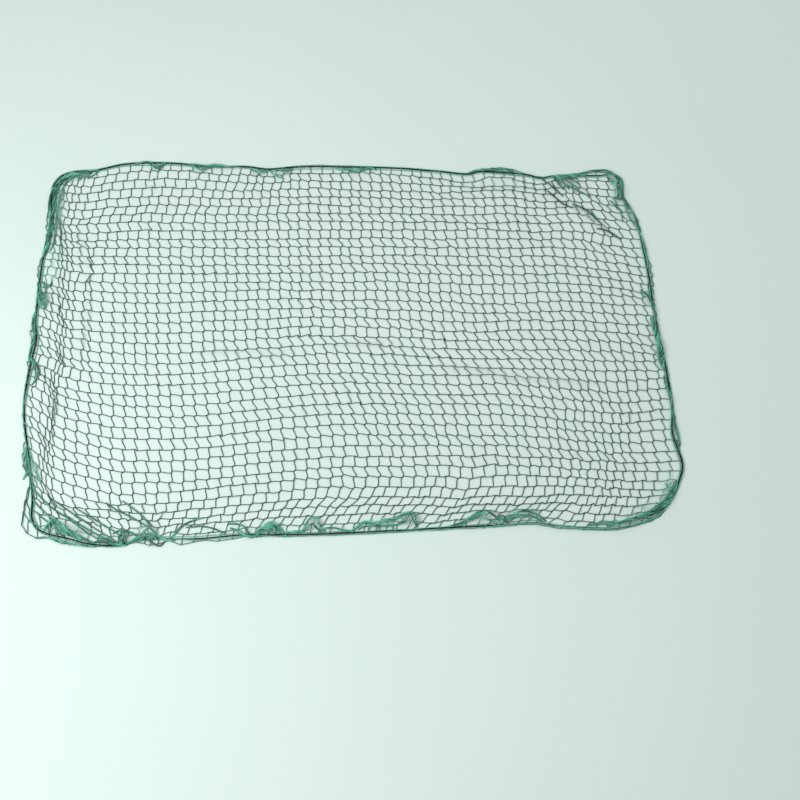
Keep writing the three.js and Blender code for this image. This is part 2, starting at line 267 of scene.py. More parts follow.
# Ropes and loose folds of netting round the rim, read off the photograph clockwise from its upper left
ROPES = [
    # upper left corner and the top
    Rope("corner outer", 4, 12, ((54, 190), (58, 184.5), (62, 180.5), (66, 177.5), (70, 175), (75, 173.3),
                                 (80, 172.8), (86, 172.8), (92, 172), (99, 170.5))),
    Rope("corner inner", 3, 12, ((57, 190), (61, 184), (65, 180), (69, 177.5), (73, 175.5), (78, 174.5),
                                 (84, 174.5), (90, 173.5))),
    Rope("corner fold", 2, 5, ((63, 190), (65, 185), (68, 181.5), (72, 178), (76, 175))),
    Rope("corner tuft a", 2, 4, ((79, 173), (80, 176.5), (79, 180))),
    Rope("corner tuft b", 1, 3, ((84, 173), (82, 178), (78.5, 181))),
    Rope("corner tuft c", 1, 3, ((92, 172.5), (89.5, 175.5), (88, 179.5))),
    Rope("corner tuft d", 1, 3, ((99, 171.5), (95, 175.5), (90, 177.5))),
    Rope("top far left tuft", 3, 8, ((149, 164), (153, 166), (156.5, 169), (158.5, 170), (160.5, 168.5),
                                     (163, 165.5), (166, 163.5))),
    Rope("top far left knot", 2, 5, ((152, 163.8), (155, 166), (157, 168), (159, 167.8), (161, 165.5),
                                     (163, 163.5))),
    Rope("top far left outside", 2, 5, ((135, 165), (141, 163), (147, 162.3), (153, 163))),
    Rope("top left tuft", 3, 6, ((193, 166), (196.5, 168.5), (199.5, 171), (202.5, 171), (205.5, 169.5),
                                 (210, 168))),
    Rope("top left outside", 2, 7, ((188, 164.5), (195, 165), (203, 166.5), (209, 166.2), (215, 165),
                                    (223, 166), (230, 168))),
    Rope("top twin a", 4, 12, ((251, 169.5), (255, 171.5), (259, 173), (263, 173), (266, 171.5),
                               (269, 170.5))),
    Rope("top twin b", 4, 11, ((276, 170), (280, 171), (284, 171.3), (288, 170.8), (293, 169.8))),
    Rope("top twin fold", 1, 3, ((270, 171), (273, 175), (278, 178), (284, 178.5))),
    Rope("top middle", 4, 12, ((336, 169), (343, 169.5), (350, 171), (354, 171.5), (359, 170.3),
                               (366, 169.5), (373, 169), (376, 170.5))),
    Rope("top middle fold", 2, 4, ((345, 168.5), (349, 171.5), (352, 173), (356, 171.8))),
    Rope("top pleat outside", 3, 12, ((468, 173.8), (475, 171.5), (483, 170.5), (491, 170.8),
                                      (499, 169.7), (507, 171), (514, 173), (522, 174.2))),
    Rope("top pleat outer fold", 2, 5, ((489, 170.5), (495, 169.3), (501, 169), (507, 170.3),
                                        (515, 172.3))),
    # upper right corner
    Rope("top right heap", 6, 22, ((551, 177), (557, 177.7), (562, 178.3), (567, 177.8), (573, 176.8),
                                   (580, 175.7), (586, 175.8))),
    Rope("top right fan a", 2, 4, ((558, 178.5), (561, 181.5), (565, 185.5), (569, 189.5))),
    Rope("top right fan b", 1, 3, ((555, 179), (557.5, 183), (561, 187.5), (564, 190))),
    Rope("top right fan c", 1, 3, ((564, 179), (568, 182.5), (573, 186.5), (577, 189))),
    Rope("top right fan d", 1, 3, ((569, 178.5), (574, 181.5), (580, 185))),
    Rope("upper right outside", 3, 8, ((576, 175), (584, 173.2), (592, 171.8), (600, 171.2),
                                       (607, 171.2), (612, 173.3), (617, 177))),
    Rope("upper right heap", 5, 13, ((607, 177), (611, 180.5), (615, 184.5), (617.5, 189), (618.5, 194),
                                     (618, 199))),
    Rope("upper right corner", 3, 9, ((611, 174.5), (616, 178), (620, 182.5), (621, 188), (622, 195),
                                      (623.5, 201))),
    Rope("upper right tuft", 4, 9, ((614, 198.5), (618, 199.8), (622, 199.3))),
    Rope("upper right side outside", 2, 7, ((624, 199), (627.5, 204.5), (631, 210.5), (634.5, 217.5),
                                            (637.5, 225), (640.5, 233))),
    Rope("upper right crease a", 1, 4, ((557, 181), (567, 186), (577.6, 191.4), (590.8, 197)), 0.4),
    Rope("upper right crease b", 1, 5, ((572, 204.5), (580, 207.5), (588.9, 212), (596.4, 219.5),
                                        (602, 225)), 0.4),
    Rope("upper right crease c", 1, 4, ((596.4, 229), (603, 230), (609.5, 232.7), (615, 236),
                                        (620.8, 240.2)), 0.4),
    Rope("upper right crease d", 1, 4, ((547.5, 191.4), (555, 198), (562.6, 204.5), (572, 208.3)), 0.3),
    Rope("upper right crease e", 1, 4, ((609.5, 200.8), (615, 205.5), (620.8, 212), (622.7, 221.4)), 0.4),
    Rope("upper right crease f", 1, 3, ((541, 179), (548, 184), (556, 190), (563, 197)), 0.3),
    # right side
    Rope("right side outside", 2, 6, ((641, 236), (643.5, 243), (645.3, 251), (646.5, 259), (648, 268),
                                      (650, 278))),
    Rope("right upper tuft", 3, 7, ((640, 290.5), (644, 293.5), (648, 297), (650.5, 302), (652, 306))),
    Rope("right upper band", 3, 8, ((648, 283), (649, 290), (650, 297), (651.5, 303), (653, 309))),
    Rope("right middle", 6, 22, ((651, 318), (654, 328), (657, 338), (660, 347), (661.5, 355),
                                 (662.5, 362), (663.5, 369))),
    Rope("right middle fold", 2, 5, ((656.5, 340), (658, 348), (657.5, 355), (659.5, 362),
                                     (662.5, 368))),
    Rope("right lower", 3, 9, ((663.5, 376), (665.5, 384), (668, 392), (670.5, 399), (671.5, 407))),
    Rope("right lower outside", 2, 6, ((672, 410), (673.5, 418), (675.5, 427), (678, 436), (680, 446))),
    # lower right corner
    Rope("lower right inner", 3, 7, ((676, 480), (672.5, 488), (668.5, 495), (663, 501.5),
                                     (655.5, 508), (646, 513.5), (635, 518), (621, 522), (606, 525))),
    Rope("lower right middle", 4, 12, ((677, 484), (673.5, 491.5), (669, 498.5), (663, 505), (655, 511),
                                       (646, 515.5), (634, 519.8), (620, 523.5), (607, 526.3))),
    Rope("lower right outer", 3, 9, ((674.5, 493), (670, 500.5), (664.5, 506.5), (657, 512),
                                     (648.5, 516.5))),
    Rope("lower right tuft a", 1, 3, ((665, 483.5), (667.5, 488), (669.5, 491.5), (667, 495))),
    Rope("lower right tuft b", 1, 3, ((673, 482), (669.5, 484.5), (668, 489), (671, 491))),
    Rope("lower right foot", 3, 9, ((588, 525.5), (598, 524), (608, 523.5), (618, 523))),
    # bottom, from the right
    Rope("bottom right arc", 3, 7, ((503, 521.5), (508, 517.5), (514, 514.3), (521, 512), (528, 511.8),
                                    (535, 514), (541, 518), (546, 521.5))),
    Rope("bottom right lower arc", 3, 7, ((502.5, 523), (507, 519.5), (514, 517), (521, 516),
                                          (529, 515.8), (536, 518.5), (542, 522))),
    Rope("bottom right knob", 3, 6, ((503, 518.5), (505.5, 520), (504.5, 522.5))),
    Rope("right tent slope", 4, 8, ((447, 527.3), (455, 525.7), (462, 523), (468, 519.5),
                                    (473.5, 515.8), (479, 513), (484.5, 510.3))),
    Rope("right tent lower slope", 3, 7, ((458, 526.3), (463.5, 523), (469, 521), (474.5, 518),
                                          (480, 515), (485, 512.5), (486.5, 516))),
    Rope("right tent fall", 3, 6, ((484.5, 510.3), (489, 512.5), (493, 515.5), (497.5, 518.5),
                                   (503, 521), (509, 522.5))),
    Rope("right tent foot", 2, 4, ((480, 517.5), (484, 518.8), (490, 521), (496, 522.8), (502, 523.7))),
    Rope("right tent web", 1, 3, ((497, 520.5), (499, 517), (503, 515.5), (505.5, 518))),
    Rope("middle tent fall", 3, 6, ((410.5, 512), (414, 514.5), (416.5, 518.5), (415.5, 523),
                                    (417, 527.5))),
    Rope("middle roll", 4, 9, ((352, 531), (357, 527.5), (361, 524), (365, 522), (371, 523.3),
                               (377, 523.3), (383, 521.3), (390, 520), (396, 519), (401, 515.5),
                               (406, 513), (410.5, 512))),
    Rope("middle lower roll", 2, 5, ((358, 530), (363, 526.5), (369, 526), (376, 526.5), (384, 526),
                                     (391, 526), (397, 525), (402, 523.5), (405, 521))),
    Rope("middle web a", 1, 3, ((368, 523), (369.5, 527), (368, 531))),
    Rope("middle web b", 1, 3, ((379, 523.5), (378, 527), (379.5, 530.5))),
    Rope("middle web c", 1, 3, ((390, 520.5), (391.5, 525), (393, 530))),
    Rope("middle web d", 1, 3, ((399, 517), (403, 520.5), (409, 513))),
    Rope("middle web e", 1, 3, ((404, 523.5), (407, 519), (411, 513.5), (413, 520), (416, 526))),
    Rope("low netting", 2, 5, ((319, 531.5), (326, 528.5), (333, 528), (340, 530), (348, 531),
                               (354, 531.5))),
    Rope("left tent rise", 3, 6, ((301, 531.5), (304, 529), (306, 525), (308.5, 520.5), (312, 517.8),
                                  (316, 517.3))),
    Rope("left tent fall", 2, 5, ((316, 517.3), (318.5, 521.5), (320, 526), (322, 530), (325, 531.5))),
    Rope("left tent inner", 3, 5, ((303.5, 531.5), (307, 530), (310, 526.5), (312.5, 523.5),
                                   (315, 526.5), (318, 530), (321, 532))),
    Rope("left heap outer", 3, 8, ((253, 534), (258, 531.5), (262.5, 528.5), (266.5, 524.5),
                                   (271.5, 522.5), (275.5, 524.5), (279, 528), (282, 530.5),
                                   (284, 533))),
    Rope("left heap inner", 4, 14, ((257, 534.3), (262, 531), (267, 528), (272, 526.5), (276, 528.5),
                                    (279, 531.5), (280, 534))),
    Rope("left heap web a", 1, 3, ((266, 524.5), (270, 529), (274, 533.5))),
    Rope("left heap web b", 1, 3, ((275, 524), (271, 528.5), (268, 534))),
    Rope("bottom left edge", 3, 7, ((283, 533.3), (290, 532.6), (297, 532.2), (304, 531.7))),
    Rope("left knuckle upper", 2, 5, ((228, 524.5), (234, 524), (240, 524.8), (244.5, 527.5),
                                      (247.5, 531.5), (251, 536.5))),
    Rope("left knuckle lower", 3, 7, ((230, 528.5), (235, 530), (240, 532.5), (245, 535.5), (250, 538),
                                      (254, 536.5), (259, 535.5))),
    Rope("far left long fold", 2, 5, ((170, 538.5), (175, 534.5), (179, 529.5), (184, 525), (190, 522),
                                      (197, 519.5), (204, 518))),
    Rope("far left low fold", 1, 3, ((186, 527.5), (193, 527.5), (200, 526.5), (207, 527.5),
                                     (214, 529), (221, 532), (226, 534))),
    Rope("far left tent rise", 4, 8, ((127, 543.5), (133, 540.5), (138, 538.5), (142, 535),
                                      (146, 530.5), (150.5, 528))),
    Rope("far left tent fall", 3, 7, ((150.5, 528), (153.5, 531.5), (156.5, 535.5), (161, 538.5),
                                      (167, 540.5), (175, 540.5))),
    Rope("far left tent inner", 3, 7, ((138, 542), (143, 538.5), (147, 536), (151, 534.5),
                                       (155, 537.5), (158, 540.5))),
    Rope("far left upright", 4, 20, ((122.5, 531.5), (122.3, 536), (121.8, 541), (122.5, 546))),
    Rope("far left upright top", 2, 5, ((113, 534), (117, 531.5), (122, 530.8), (128, 531.8),
                                        (133, 534), (138, 537.5), (143, 533.5))),
    Rope("far left outer loop", 1, 4, ((147, 540), (152, 543), (156.5, 546), (160.5, 546.7),
                                       (163, 544), (165, 541.5))),
    Rope("far left roll", 3, 8, ((92, 543.3), (99, 542), (106, 542.8), (113, 544.5), (120, 545.8),
                                 (127, 545.3))),
    Rope("far left upper roll", 2, 5, ((97, 540.5), (103, 539), (109, 540.5), (115, 543))),
    # lower left corner
    Rope("lower left rise", 3, 7, ((43.5, 531.5), (46.5, 526.5), (50, 522), (54, 519))),
    Rope("lower left fall", 5, 14, ((54, 519), (58, 522.5), (63, 527), (69, 531.5), (76, 536),
                                    (84, 540), (93, 543))),
    Rope("lower left inner fall", 3, 8, ((51.5, 521.5), (55, 526), (60, 530), (66, 533.5), (73, 537),
                                         (82, 540.5))),
    Rope("lower left web a", 1, 3, ((49, 523.5), (51, 528), (50, 533))),
    Rope("lower left web b", 1, 3, ((53, 521.5), (57, 528), (58, 535))),
    Rope("lower left web c", 1, 3, ((62, 529), (60, 533), (63, 537.5))),
    Rope("lower left outside", 2, 6, ((38, 538), (46, 537.5), (54, 539.5), (62, 542), (72, 544.5),
                                      (84, 546.5), (96, 547))),
    Rope("slant a", 1, 4, ((33, 500), (38, 506), (45, 513), (52, 519.5), (60, 525), (67, 530.5),
                           (75, 535)), 0.45),
    Rope("slant b", 1, 4, ((34, 489), (40, 497), (50, 507), (60, 514), (70, 520), (80, 528), (90, 535),
                           (98, 539.5), (105, 543)), 0.4),
    Rope("slant c", 1, 3, ((50, 498), (60, 505), (72, 513.5), (85, 522), (95, 529), (105, 535),
                           (118, 543)), 0.4),
    Rope("slant d", 1, 3, ((58, 513), (68, 517), (78, 524), (88, 530), (99, 536), (112, 542)), 0.5),
    Rope("slant e", 1, 3, ((75, 508), (85, 514), (95, 520), (105, 526.5), (115, 532), (121, 537)), 0.35),
    Rope("slant f", 1, 3, ((36, 512), (43, 519), (50, 524), (57, 527)), 0.5),
    Rope("slant g", 1, 3, ((106, 503), (116, 510), (126, 515), (136, 520), (145, 525.5), (150, 529)), 0.3),
    Rope("slant h", 1, 3, ((122, 501), (132, 508), (141, 515), (147, 522), (151, 529)), 0.3),
    # left side, upwards
    Rope("left lower outside", 3, 8, ((26, 448), (26, 455), (24.8, 460), (27, 465), (28.3, 470),
                                      (26.5, 475), (23, 480))),
    Rope("left lower fold", 1, 3, ((30, 452), (31.5, 459), (33, 466), (35, 472), (39, 478), (41, 484))),
    Rope("left middle", 3, 7, ((31.5, 358), (33.5, 364), (36, 370), (36.5, 376), (35.5, 381),
                               (32, 385))),
    Rope("left middle fold", 2, 5, ((32.5, 359), (36, 364), (39, 369), (40, 376))),
    Rope("left middle outside", 3, 8, ((36.5, 311), (33.5, 318), (32.7, 326), (34.5, 334), (34, 341),
                                       (31.5, 348), (30, 355), (29, 363))),
    Rope("left upper", 3, 7, ((39.5, 284), (40.5, 291), (42, 298), (44, 304), (46, 307.5))),
    Rope("left upper heap", 4, 10, ((39, 292), (38.5, 299), (39.5, 304), (42, 307.5), (45.5, 307.5))),
    Rope("left upper fold", 2, 5, ((43, 288), (46.5, 284.5), (45.5, 293), (46, 300), (46.5, 306))),
    Rope("left upper loop", 1, 3, ((44, 281.5), (43.5, 285), (46.5, 288.5), (51, 286), (52, 281))),
    Rope("upper left outer band", 3, 9, ((58, 184), (54, 189), (51, 195), (49.7, 203), (49.7, 211),
                                         (50.7, 219), (50.2, 228), (49, 236), (47.3, 243), (45, 251),
                                         (43.5, 258))),
    Rope("upper left inner band", 3, 9, ((60, 186), (55.5, 191), (54.3, 198), (54, 205), (52.6, 212),
                                         (52.4, 219), (52.3, 226), (51.2, 234), (49.8, 242),
                                         (47.8, 250), (45.5, 256))),
    Rope("upper left band", 4, 12, ((51.5, 222), (50.7, 230), (49.5, 238), (48.3, 245), (46, 252))),
    Rope("upper left long fold", 2, 5, ((66, 183), (62.5, 189), (61, 196), (59, 204), (57.5, 212),
                                        (56.8, 220), (56, 228), (55.3, 236), (53.5, 244),
                                        (50.5, 251))),
    Rope("upper left short fold", 2, 5, ((59, 188), (57.5, 194), (57, 200), (56, 206), (54, 213))),
]

LOBES = [
    Lobe("lower left corner", -1400, -900, 210, 50, 5),
    Lobe("lower left foot", -1250, -1005, 130, 22, 5),
    Lobe("bottom far left", -855, -1015, 70, 24, 4),
    Lobe("bottom left", -720, -1020, 80, 20, 3),
    Lobe("bottom left narrow", -545, -995, 90, 14, 2),
    Lobe("right lower", 1495, -475, 110, 16, 3),
    Lobe("right upper", 1445, 390, 170, 12, 2),
    Lobe("upper right side", 1395, 700, 110, 24, 4),
    Lobe("upper right top", 1230, 960, 120, 24, 4),
    Lobe("top right", 760, 980, 160, 24, 4),
    Lobe("top left", -725, 1020, 100, 10, 2),
    Lobe("left top", -1510, 680, 110, 16, 3),
    Lobe("left upper", -1520, 405, 120, 10, 2),
    Lobe("left middle", -1500, 30, 130, 22, 4),
    Lobe("left lower middle", -1510, -105, 70, 14, 2),
    Lobe("left lower", -1450, -620, 110, 24, 5),
]

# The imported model's pleats, then low creases that show mostly in the meshes
PLEATS = [
    Pleat("pinched top", -1375, 650, -1280, 315, 8, 26, 9, 26),
    Pleat("pinched middle", -1275, 275, -1285, -95, 12, 24, 9, 0),
    Pleat("pinched foot", -1380, -280, -1360, -435, 6, 20, 7, 0),
    Pleat("left band", -740, -65, -190, -60, -10, 34, 8, 16),
    Pleat("middle band", -135, -45, 250, -25, 14, 30, 7, 16),
    Pleat("right band", 380, -115, 1170, -240, -18, 38, 8, 18),
    Pleat("upper right slant", 1075, 810, 1280, 605, 12, 22, 10, 40),
    Pleat("lower left slant", -1120, -830, -1000, -895, -6, 18, 8, 26),
    Pleat("left strip outer", -1485, 800, -1450, 330, 10, 22, 3, 30),
    Pleat("left strip inner", -1440, 760, -1405, 300, 8, 22, 3, 26),
    Pleat("top crease", 440, 920, 980, 865, -10, 22, 3, 36),
    Pleat("upper right fan", 1085, 925, 1330, 690, 20, 22, 3, 34),
    Pleat("lower left long slant", -1330, -830, -1060, -960, -8, 24, 3, 34),
    Pleat("lower left short slant", -800, -860, -900, -960, 6, 22, 3, 30),
]


@dataclass(frozen=True)
class Pinch:
    """A column of meshes that is closed up from one row to another, by so many millimetres."""

    name: str
    column: int
    from_row: float
    to_row: float
    closed: float


# Columns of meshes that lie closed up at the left of the photograph
PINCHES = [
    Pinch("left upper column", 7, 16.5, 30, 44),
    Pinch("left foot column", 4, 9, 13, 20),
]


@dataclass(frozen=True)
class Shear:
    """A band where the rows slide over each other, so the columns below it stand further right, mm."""

    name: str
    x: float
    half_x: float
    y: float
    half_y: float
    slide: float


@dataclass(frozen=True)
class Sag:
    """A place towards which the rows dip, in millimetres."""

    name: str
    x: float
    half_x: float
    y: float
    half_y: float
    drop: float


# Where the columns lean in the photograph, and then where the rows dip or rise
SHEARS = [
    Shear("upper left", -1020, 420, 740, 120, -14),
    Shear("upper right", 1100, 500, 700, 160, 8),
    Shear("left strip", -1300, 200, 330, 250, -60),
    Shear("right middle", 780, 760, -40, 140, 50),
    Shear("lower middle", 60, 1350, -270, 340, 75),
    Shear("right edge", 1450, 420, -400, 170, -36),
    Shear("lower edge", 350, 1150, -880, 110, -88),
]
SAGS = [
    Sag("lower left", -1190, 1180, -600, 1070, 113),
    Sag("lower right", 1250, 700, -350, 700, 45),
    Sag("middle right", 520, 560, 170, 500, 20),
    Sag("middle left", -360, 260, 290, 200, -10),
    Sag("upper left", -1450, 420, 760, 420, 25),
    Sag("upper right", 1250, 500, 500, 500, 10),
]


@dataclass
class RimLine:
    """The rim cord's closed line: fine points with their length along it.

    The line is a centripetal Catmull-Rom spline: between two knots it is the cubic whose end slopes
    come from the neighbours, weighted by the square roots of the knots' distances.
    """

    points: np.ndarray
    along: np.ndarray
    length: float
    heart: tuple[float, float] = (1.05, 0.54)

    @classmethod
    def through(cls, knots: np.ndarray, steps: int) -> "RimLine":
        """Draws the closed spline and measures it.

        Args:
            knots: Points of shape (n, 2) that it passes through.
            steps: How many fine points it gets, at even parameter values.

        Returns:
            The rim line.
        """
        before, after, later = (np.roll(knots, shift, axis=0) for shift in (1, -1, -2))
        d0, d1, d2 = (
            np.sqrt(np.linalg.norm(gap, axis=1, keepdims=True))
            for gap in (knots - before, after - knots, later - after)
        )
        leave = ((knots - before) / d0 - (after - before) / (d0 + d1) + (after - knots) / d1) * d1
        arrive = ((after - knots) / d1 - (later - knots) / (d1 + d2) + (later - after) / d2) * d1
        place = np.arange(steps) * len(knots) / steps
        k = place.astype(int)
        t = (place - k)[:, None]
        points = (
            (2 * t ** 3 - 3 * t ** 2 + 1) * knots[k]
            + (t ** 3 - 2 * t ** 2 + t) * leave[k]
            + (3 * t ** 2 - 2 * t ** 3) * after[k]
            + (t ** 3 - t ** 2) * arrive[k]
        )
        sides = np.linalg.norm(np.roll(points, -1, axis=0) - points, axis=1)
        along = np.concatenate([[0.0], np.cumsum(sides)])
        return cls(points, along, float(along[-1]))

    def at(self, along: np.ndarray) -> np.ndarray:
        """Points on the rim.

        Args:
            along: Lengths along it, shape (n,); they may pass its end.

        Returns:
            Points of shape (n, 2).
        """
        along = np.mod(along, self.length)
        loop = np.vstack([self.points, self.points[:1]])
        return np.stack([np.interp(along, self.along, loop[:, axis]) for axis in (0, 1)], -1)

    def inward(self, spots: np.ndarray) -> np.ndarray:
        """Unit vectors from rim points towards the nearest point of the heart rectangle."""
        away = np.clip(spots, (-self.heart[0], -self.heart[1]), self.heart) - spots
        return away / np.linalg.norm(away, axis=-1, keepdims=True)

    def place(self, along: np.ndarray, inwards: np.ndarray) -> np.ndarray:
        """Points at lengths along the rim and distances inwards from it."""
        spots = self.at(along)
        return spots + self.inward(spots) * np.asarray(inwards)[..., None]

    def measure(self, spots: np.ndarray, block: int = 1500) -> tuple[np.ndarray, np.ndarray]:
        """Length along the rim of the nearest place, and the distance from it, positive inside.

        Args:
            spots: Points of shape (n, 2).
            block: How many points are compared with the whole rim at a time.

        Returns:
            Lengths along and signed distances, both of shape (n,).
        """
        nearest = np.concatenate([
            ((part[:, None, :] - self.points[None]) ** 2).sum(-1).argmin(1)
            for part in np.array_split(spots, max(1, len(spots) // block))
        ])
        tangent = np.roll(self.points, -1, axis=0) - np.roll(self.points, 1, axis=0)
        tangent = (tangent / np.linalg.norm(tangent, axis=1, keepdims=True))[nearest]
        offset = spots - self.points[nearest]
        onward = (offset * tangent).sum(-1)
        side = np.sign(tangent[:, 0] * offset[:, 1] - tangent[:, 1] * offset[:, 0])
        return self.along[nearest] + onward, side * np.linalg.norm(offset, axis=1)

    def nearest_along(self, x: float, y: float) -> float:
        """Length along the rim of its point nearest to x, y in millimetres."""
        return float(self.along[((self.points - np.array([x, y]) * MM) ** 2).sum(1).argmin()])

    def apart(self, along: np.ndarray, centre: float) -> np.ndarray:
        """Signed length from centre to each place, the short way round the loop."""
        return np.mod(along - centre + 0.5 * self.length, self.length) - 0.5 * self.length


@dataclass(frozen=True)
class PictureView:
    """How the photograph sees the ground: it fixes the camera, and turns picture points into places.

    look_at is the ground point in the middle of the picture, in the cord route's frame.
    """

    pitch: float = math.radians(63)
    distance: float = 6.172
    lens: float = 59.6
    film: float = 36.0
    half_picture: float = 400.0
    look_at: tuple[float, float] = (0.238, -0.319)

    def eye(self) -> np.ndarray:
        """Where the camera stands: back from look_at by the distance, at the pitch.

        Returns:
            The point, metres, in the cord route's frame.
        """
        x, y = self.look_at
        back, up = self.distance * math.cos(self.pitch), self.distance * math.sin(self.pitch)
        return np.array([x, y - back, up])

    def place(self, picture: np.ndarray, height: np.ndarray) -> np.ndarray:
        """Where the sight lines through picture points meet a height.

        A sight line runs along the view direction plus the picture offsets, over the focal length,
        times the camera's right and up directions.

        Args:
            picture: Points of shape (n, 2) in the picture, x to the right and y down.
            height: Heights of shape (n,) over the ground.

        Returns:
            Points of shape (n, 2), metres.
        """
        focal = self.lens / self.film * 2 * self.half_picture
        ahead = np.array([0, math.cos(self.pitch), -math.sin(self.pitch)])
        right, upward = np.array([1.0, 0, 0]), np.array([0, math.sin(self.pitch), math.cos(self.pitch)])
        offset = (np.asarray(picture, float) - self.half_picture) / focal
        sight = ahead + offset[:, :1] * right - offset[:, 1:] * upward
        eye = self.eye()
        reach = (height - eye[2]) / sight[:, 2]
        return eye[:2] + sight[:, :2] * reach[:, None]


@dataclass
class Relief:
    """Heights of the netting over the ground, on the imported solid's heaps, lobes and pleats."""

    rim: RimLine
    margin: float = 4.5 * MM
    cord_density: tuple[tuple[float, float], ...] = ((0.55, 12 * MM), (0.3, 50 * MM))
    bunch_density: float = 0.85
    centres: dict[str, float] = field(default_factory=dict)

    def __post_init__(self) -> None:
        """Notes where each heap and lobe sits along the rim."""
        for row in [*BUNCHES, *LOBES]:
            self.centres[type(row).__name__ + row.name] = self.rim.nearest_along(row.x, row.y)

    def reach_along(self, row: Bunch | Lobe, along: np.ndarray) -> np.ndarray:
        """Signed distance along the rim from a row's centre, in its half lengths."""
        return self.rim.apart(along, self.centres[type(row).__name__ + row.name]) / (row.half * MM)

    def heap(self, along: np.ndarray, inwards: np.ndarray) -> np.ndarray:
        """Height of the heaped netting: the highest bunch, each the product of two swells.

        Args:
            along: Lengths along the rim, shape (n,).
            inwards: Distances from the cord, shape (n,).

        Returns:
            Heights over the flat netting, shape (n,).
        """
        height = np.zeros_like(inwards)
        for row in BUNCHES:
            side = np.where(inwards < row.peak * MM, row.peak - row.foot, row.reach - row.peak) * MM
            across = swell((inwards - row.peak * MM) / side)
            height = np.maximum(height, row.rise * MM * across * swell(self.reach_along(row, along)))
        return height

    def lobe(self, along: np.ndarray) -> tuple[np.ndarray, np.ndarray]:
        """How far the netting lies outside the cord, and how high its outer edge lies.

        Args:
            along: Lengths along the rim, shape (n,).

        Returns:
            Widths and lifts, both of shape (n,).
        """
        shares = [(row, swell(self.reach_along(row, along))) for row in LOBES]
        width = np.max([row.width * MM * share for row, share in shares], axis=0)
        rise = np.max([row.rise * MM * share for row, share in shares], axis=0)
        return self.margin + width, rise

    def pleat(self, spots: np.ndarray) -> np.ndarray:
        """Height of the pleats: along each it tapers to both ends, across it is a swell.

        Args:
            spots: Points of shape (n, 2), metres.

        Returns:
            Heights over the flat netting, shape (n,).
        """
        height = np.zeros(len(spots))
        for row in PLEATS:
            share, across, _ = row.measure(spots)
            taper = np.sqrt(np.sin(np.pi * np.clip(share, 0, 1)).clip(0))
            height = np.maximum(height, row.rise * MM * taper * swell(across / (row.half_width * MM)))
        return height

    def over(self, spots: np.ndarray, along: np.ndarray, inwards: np.ndarray) -> np.ndarray:
        """Height of the netting's underside over the ground.

        Args:
            spots: Points of shape (n, 2), metres.
            along: Their lengths along the rim, shape (n,).
            inwards: Their distances from the cord, shape (n,).

        Returns:
            Heights of shape (n,).
        """
        width, rise = self.lobe(along)
        lift = rise * np.clip(-inwards / width, 0, 1) ** 2
        return np.maximum(np.maximum(self.heap(along, inwards), lift), self.pleat(spots))

    def gathered(self, along: np.ndarray, inwards: np.ndarray) -> np.ndarray:
        """How densely the netting is drawn up, from 0 in open meshes to 1 in a heap.

        Next to the cord it is the sum of a narrow and a wide bell curve, and round each bunch a swell. The
        yarn's material paints light by it, lighter and greener where it is high.

        Args:
            along: Lengths along the rim, shape (n,).
            inwards: Distances from the cord, shape (n,).

        Returns:
            Densities of shape (n,).
        """
        dense = sum(most * np.exp(-(inwards / wide) ** 2) for most, wide in self.cord_density)
        for row in BUNCHES:
            middle, half = 0.5 * row.reach * MM, 0.7 * row.reach * MM
            share = swell((inwards - middle) / half) * swell(self.reach_along(row, along) / 1.2) ** 0.5
            dense = np.maximum(dense, self.bunch_density * share)
        return dense


@dataclass(frozen=True)
class Unrest:
    """One way in which handling has moved the crossings.

    axis is 0 for moves to the side and 1 for moves away; size is their standard deviation in
    millimetres; reach is how far crossings move alike, in meshes along the rows and the columns.
    """

    name: str
    axis: int
    size: float
    reach: tuple[float, float]


UNRESTS = [
    Unrest("wide drift to the side", 0, 3.5, (4, 3)),
    Unrest("rows that slide", 0, 4.2, (5, 0.3)),
    Unrest("single crossings to the side", 0, 3.2, (0.4, 0.4)),
    Unrest("wide drift away", 1, 3.0, (4, 3)),
    Unrest("rows that wave", 1, 2.2, (1.6, 0.3)),
    Unrest("single crossings away", 1, 1.8, (0.4, 0.4)),
]


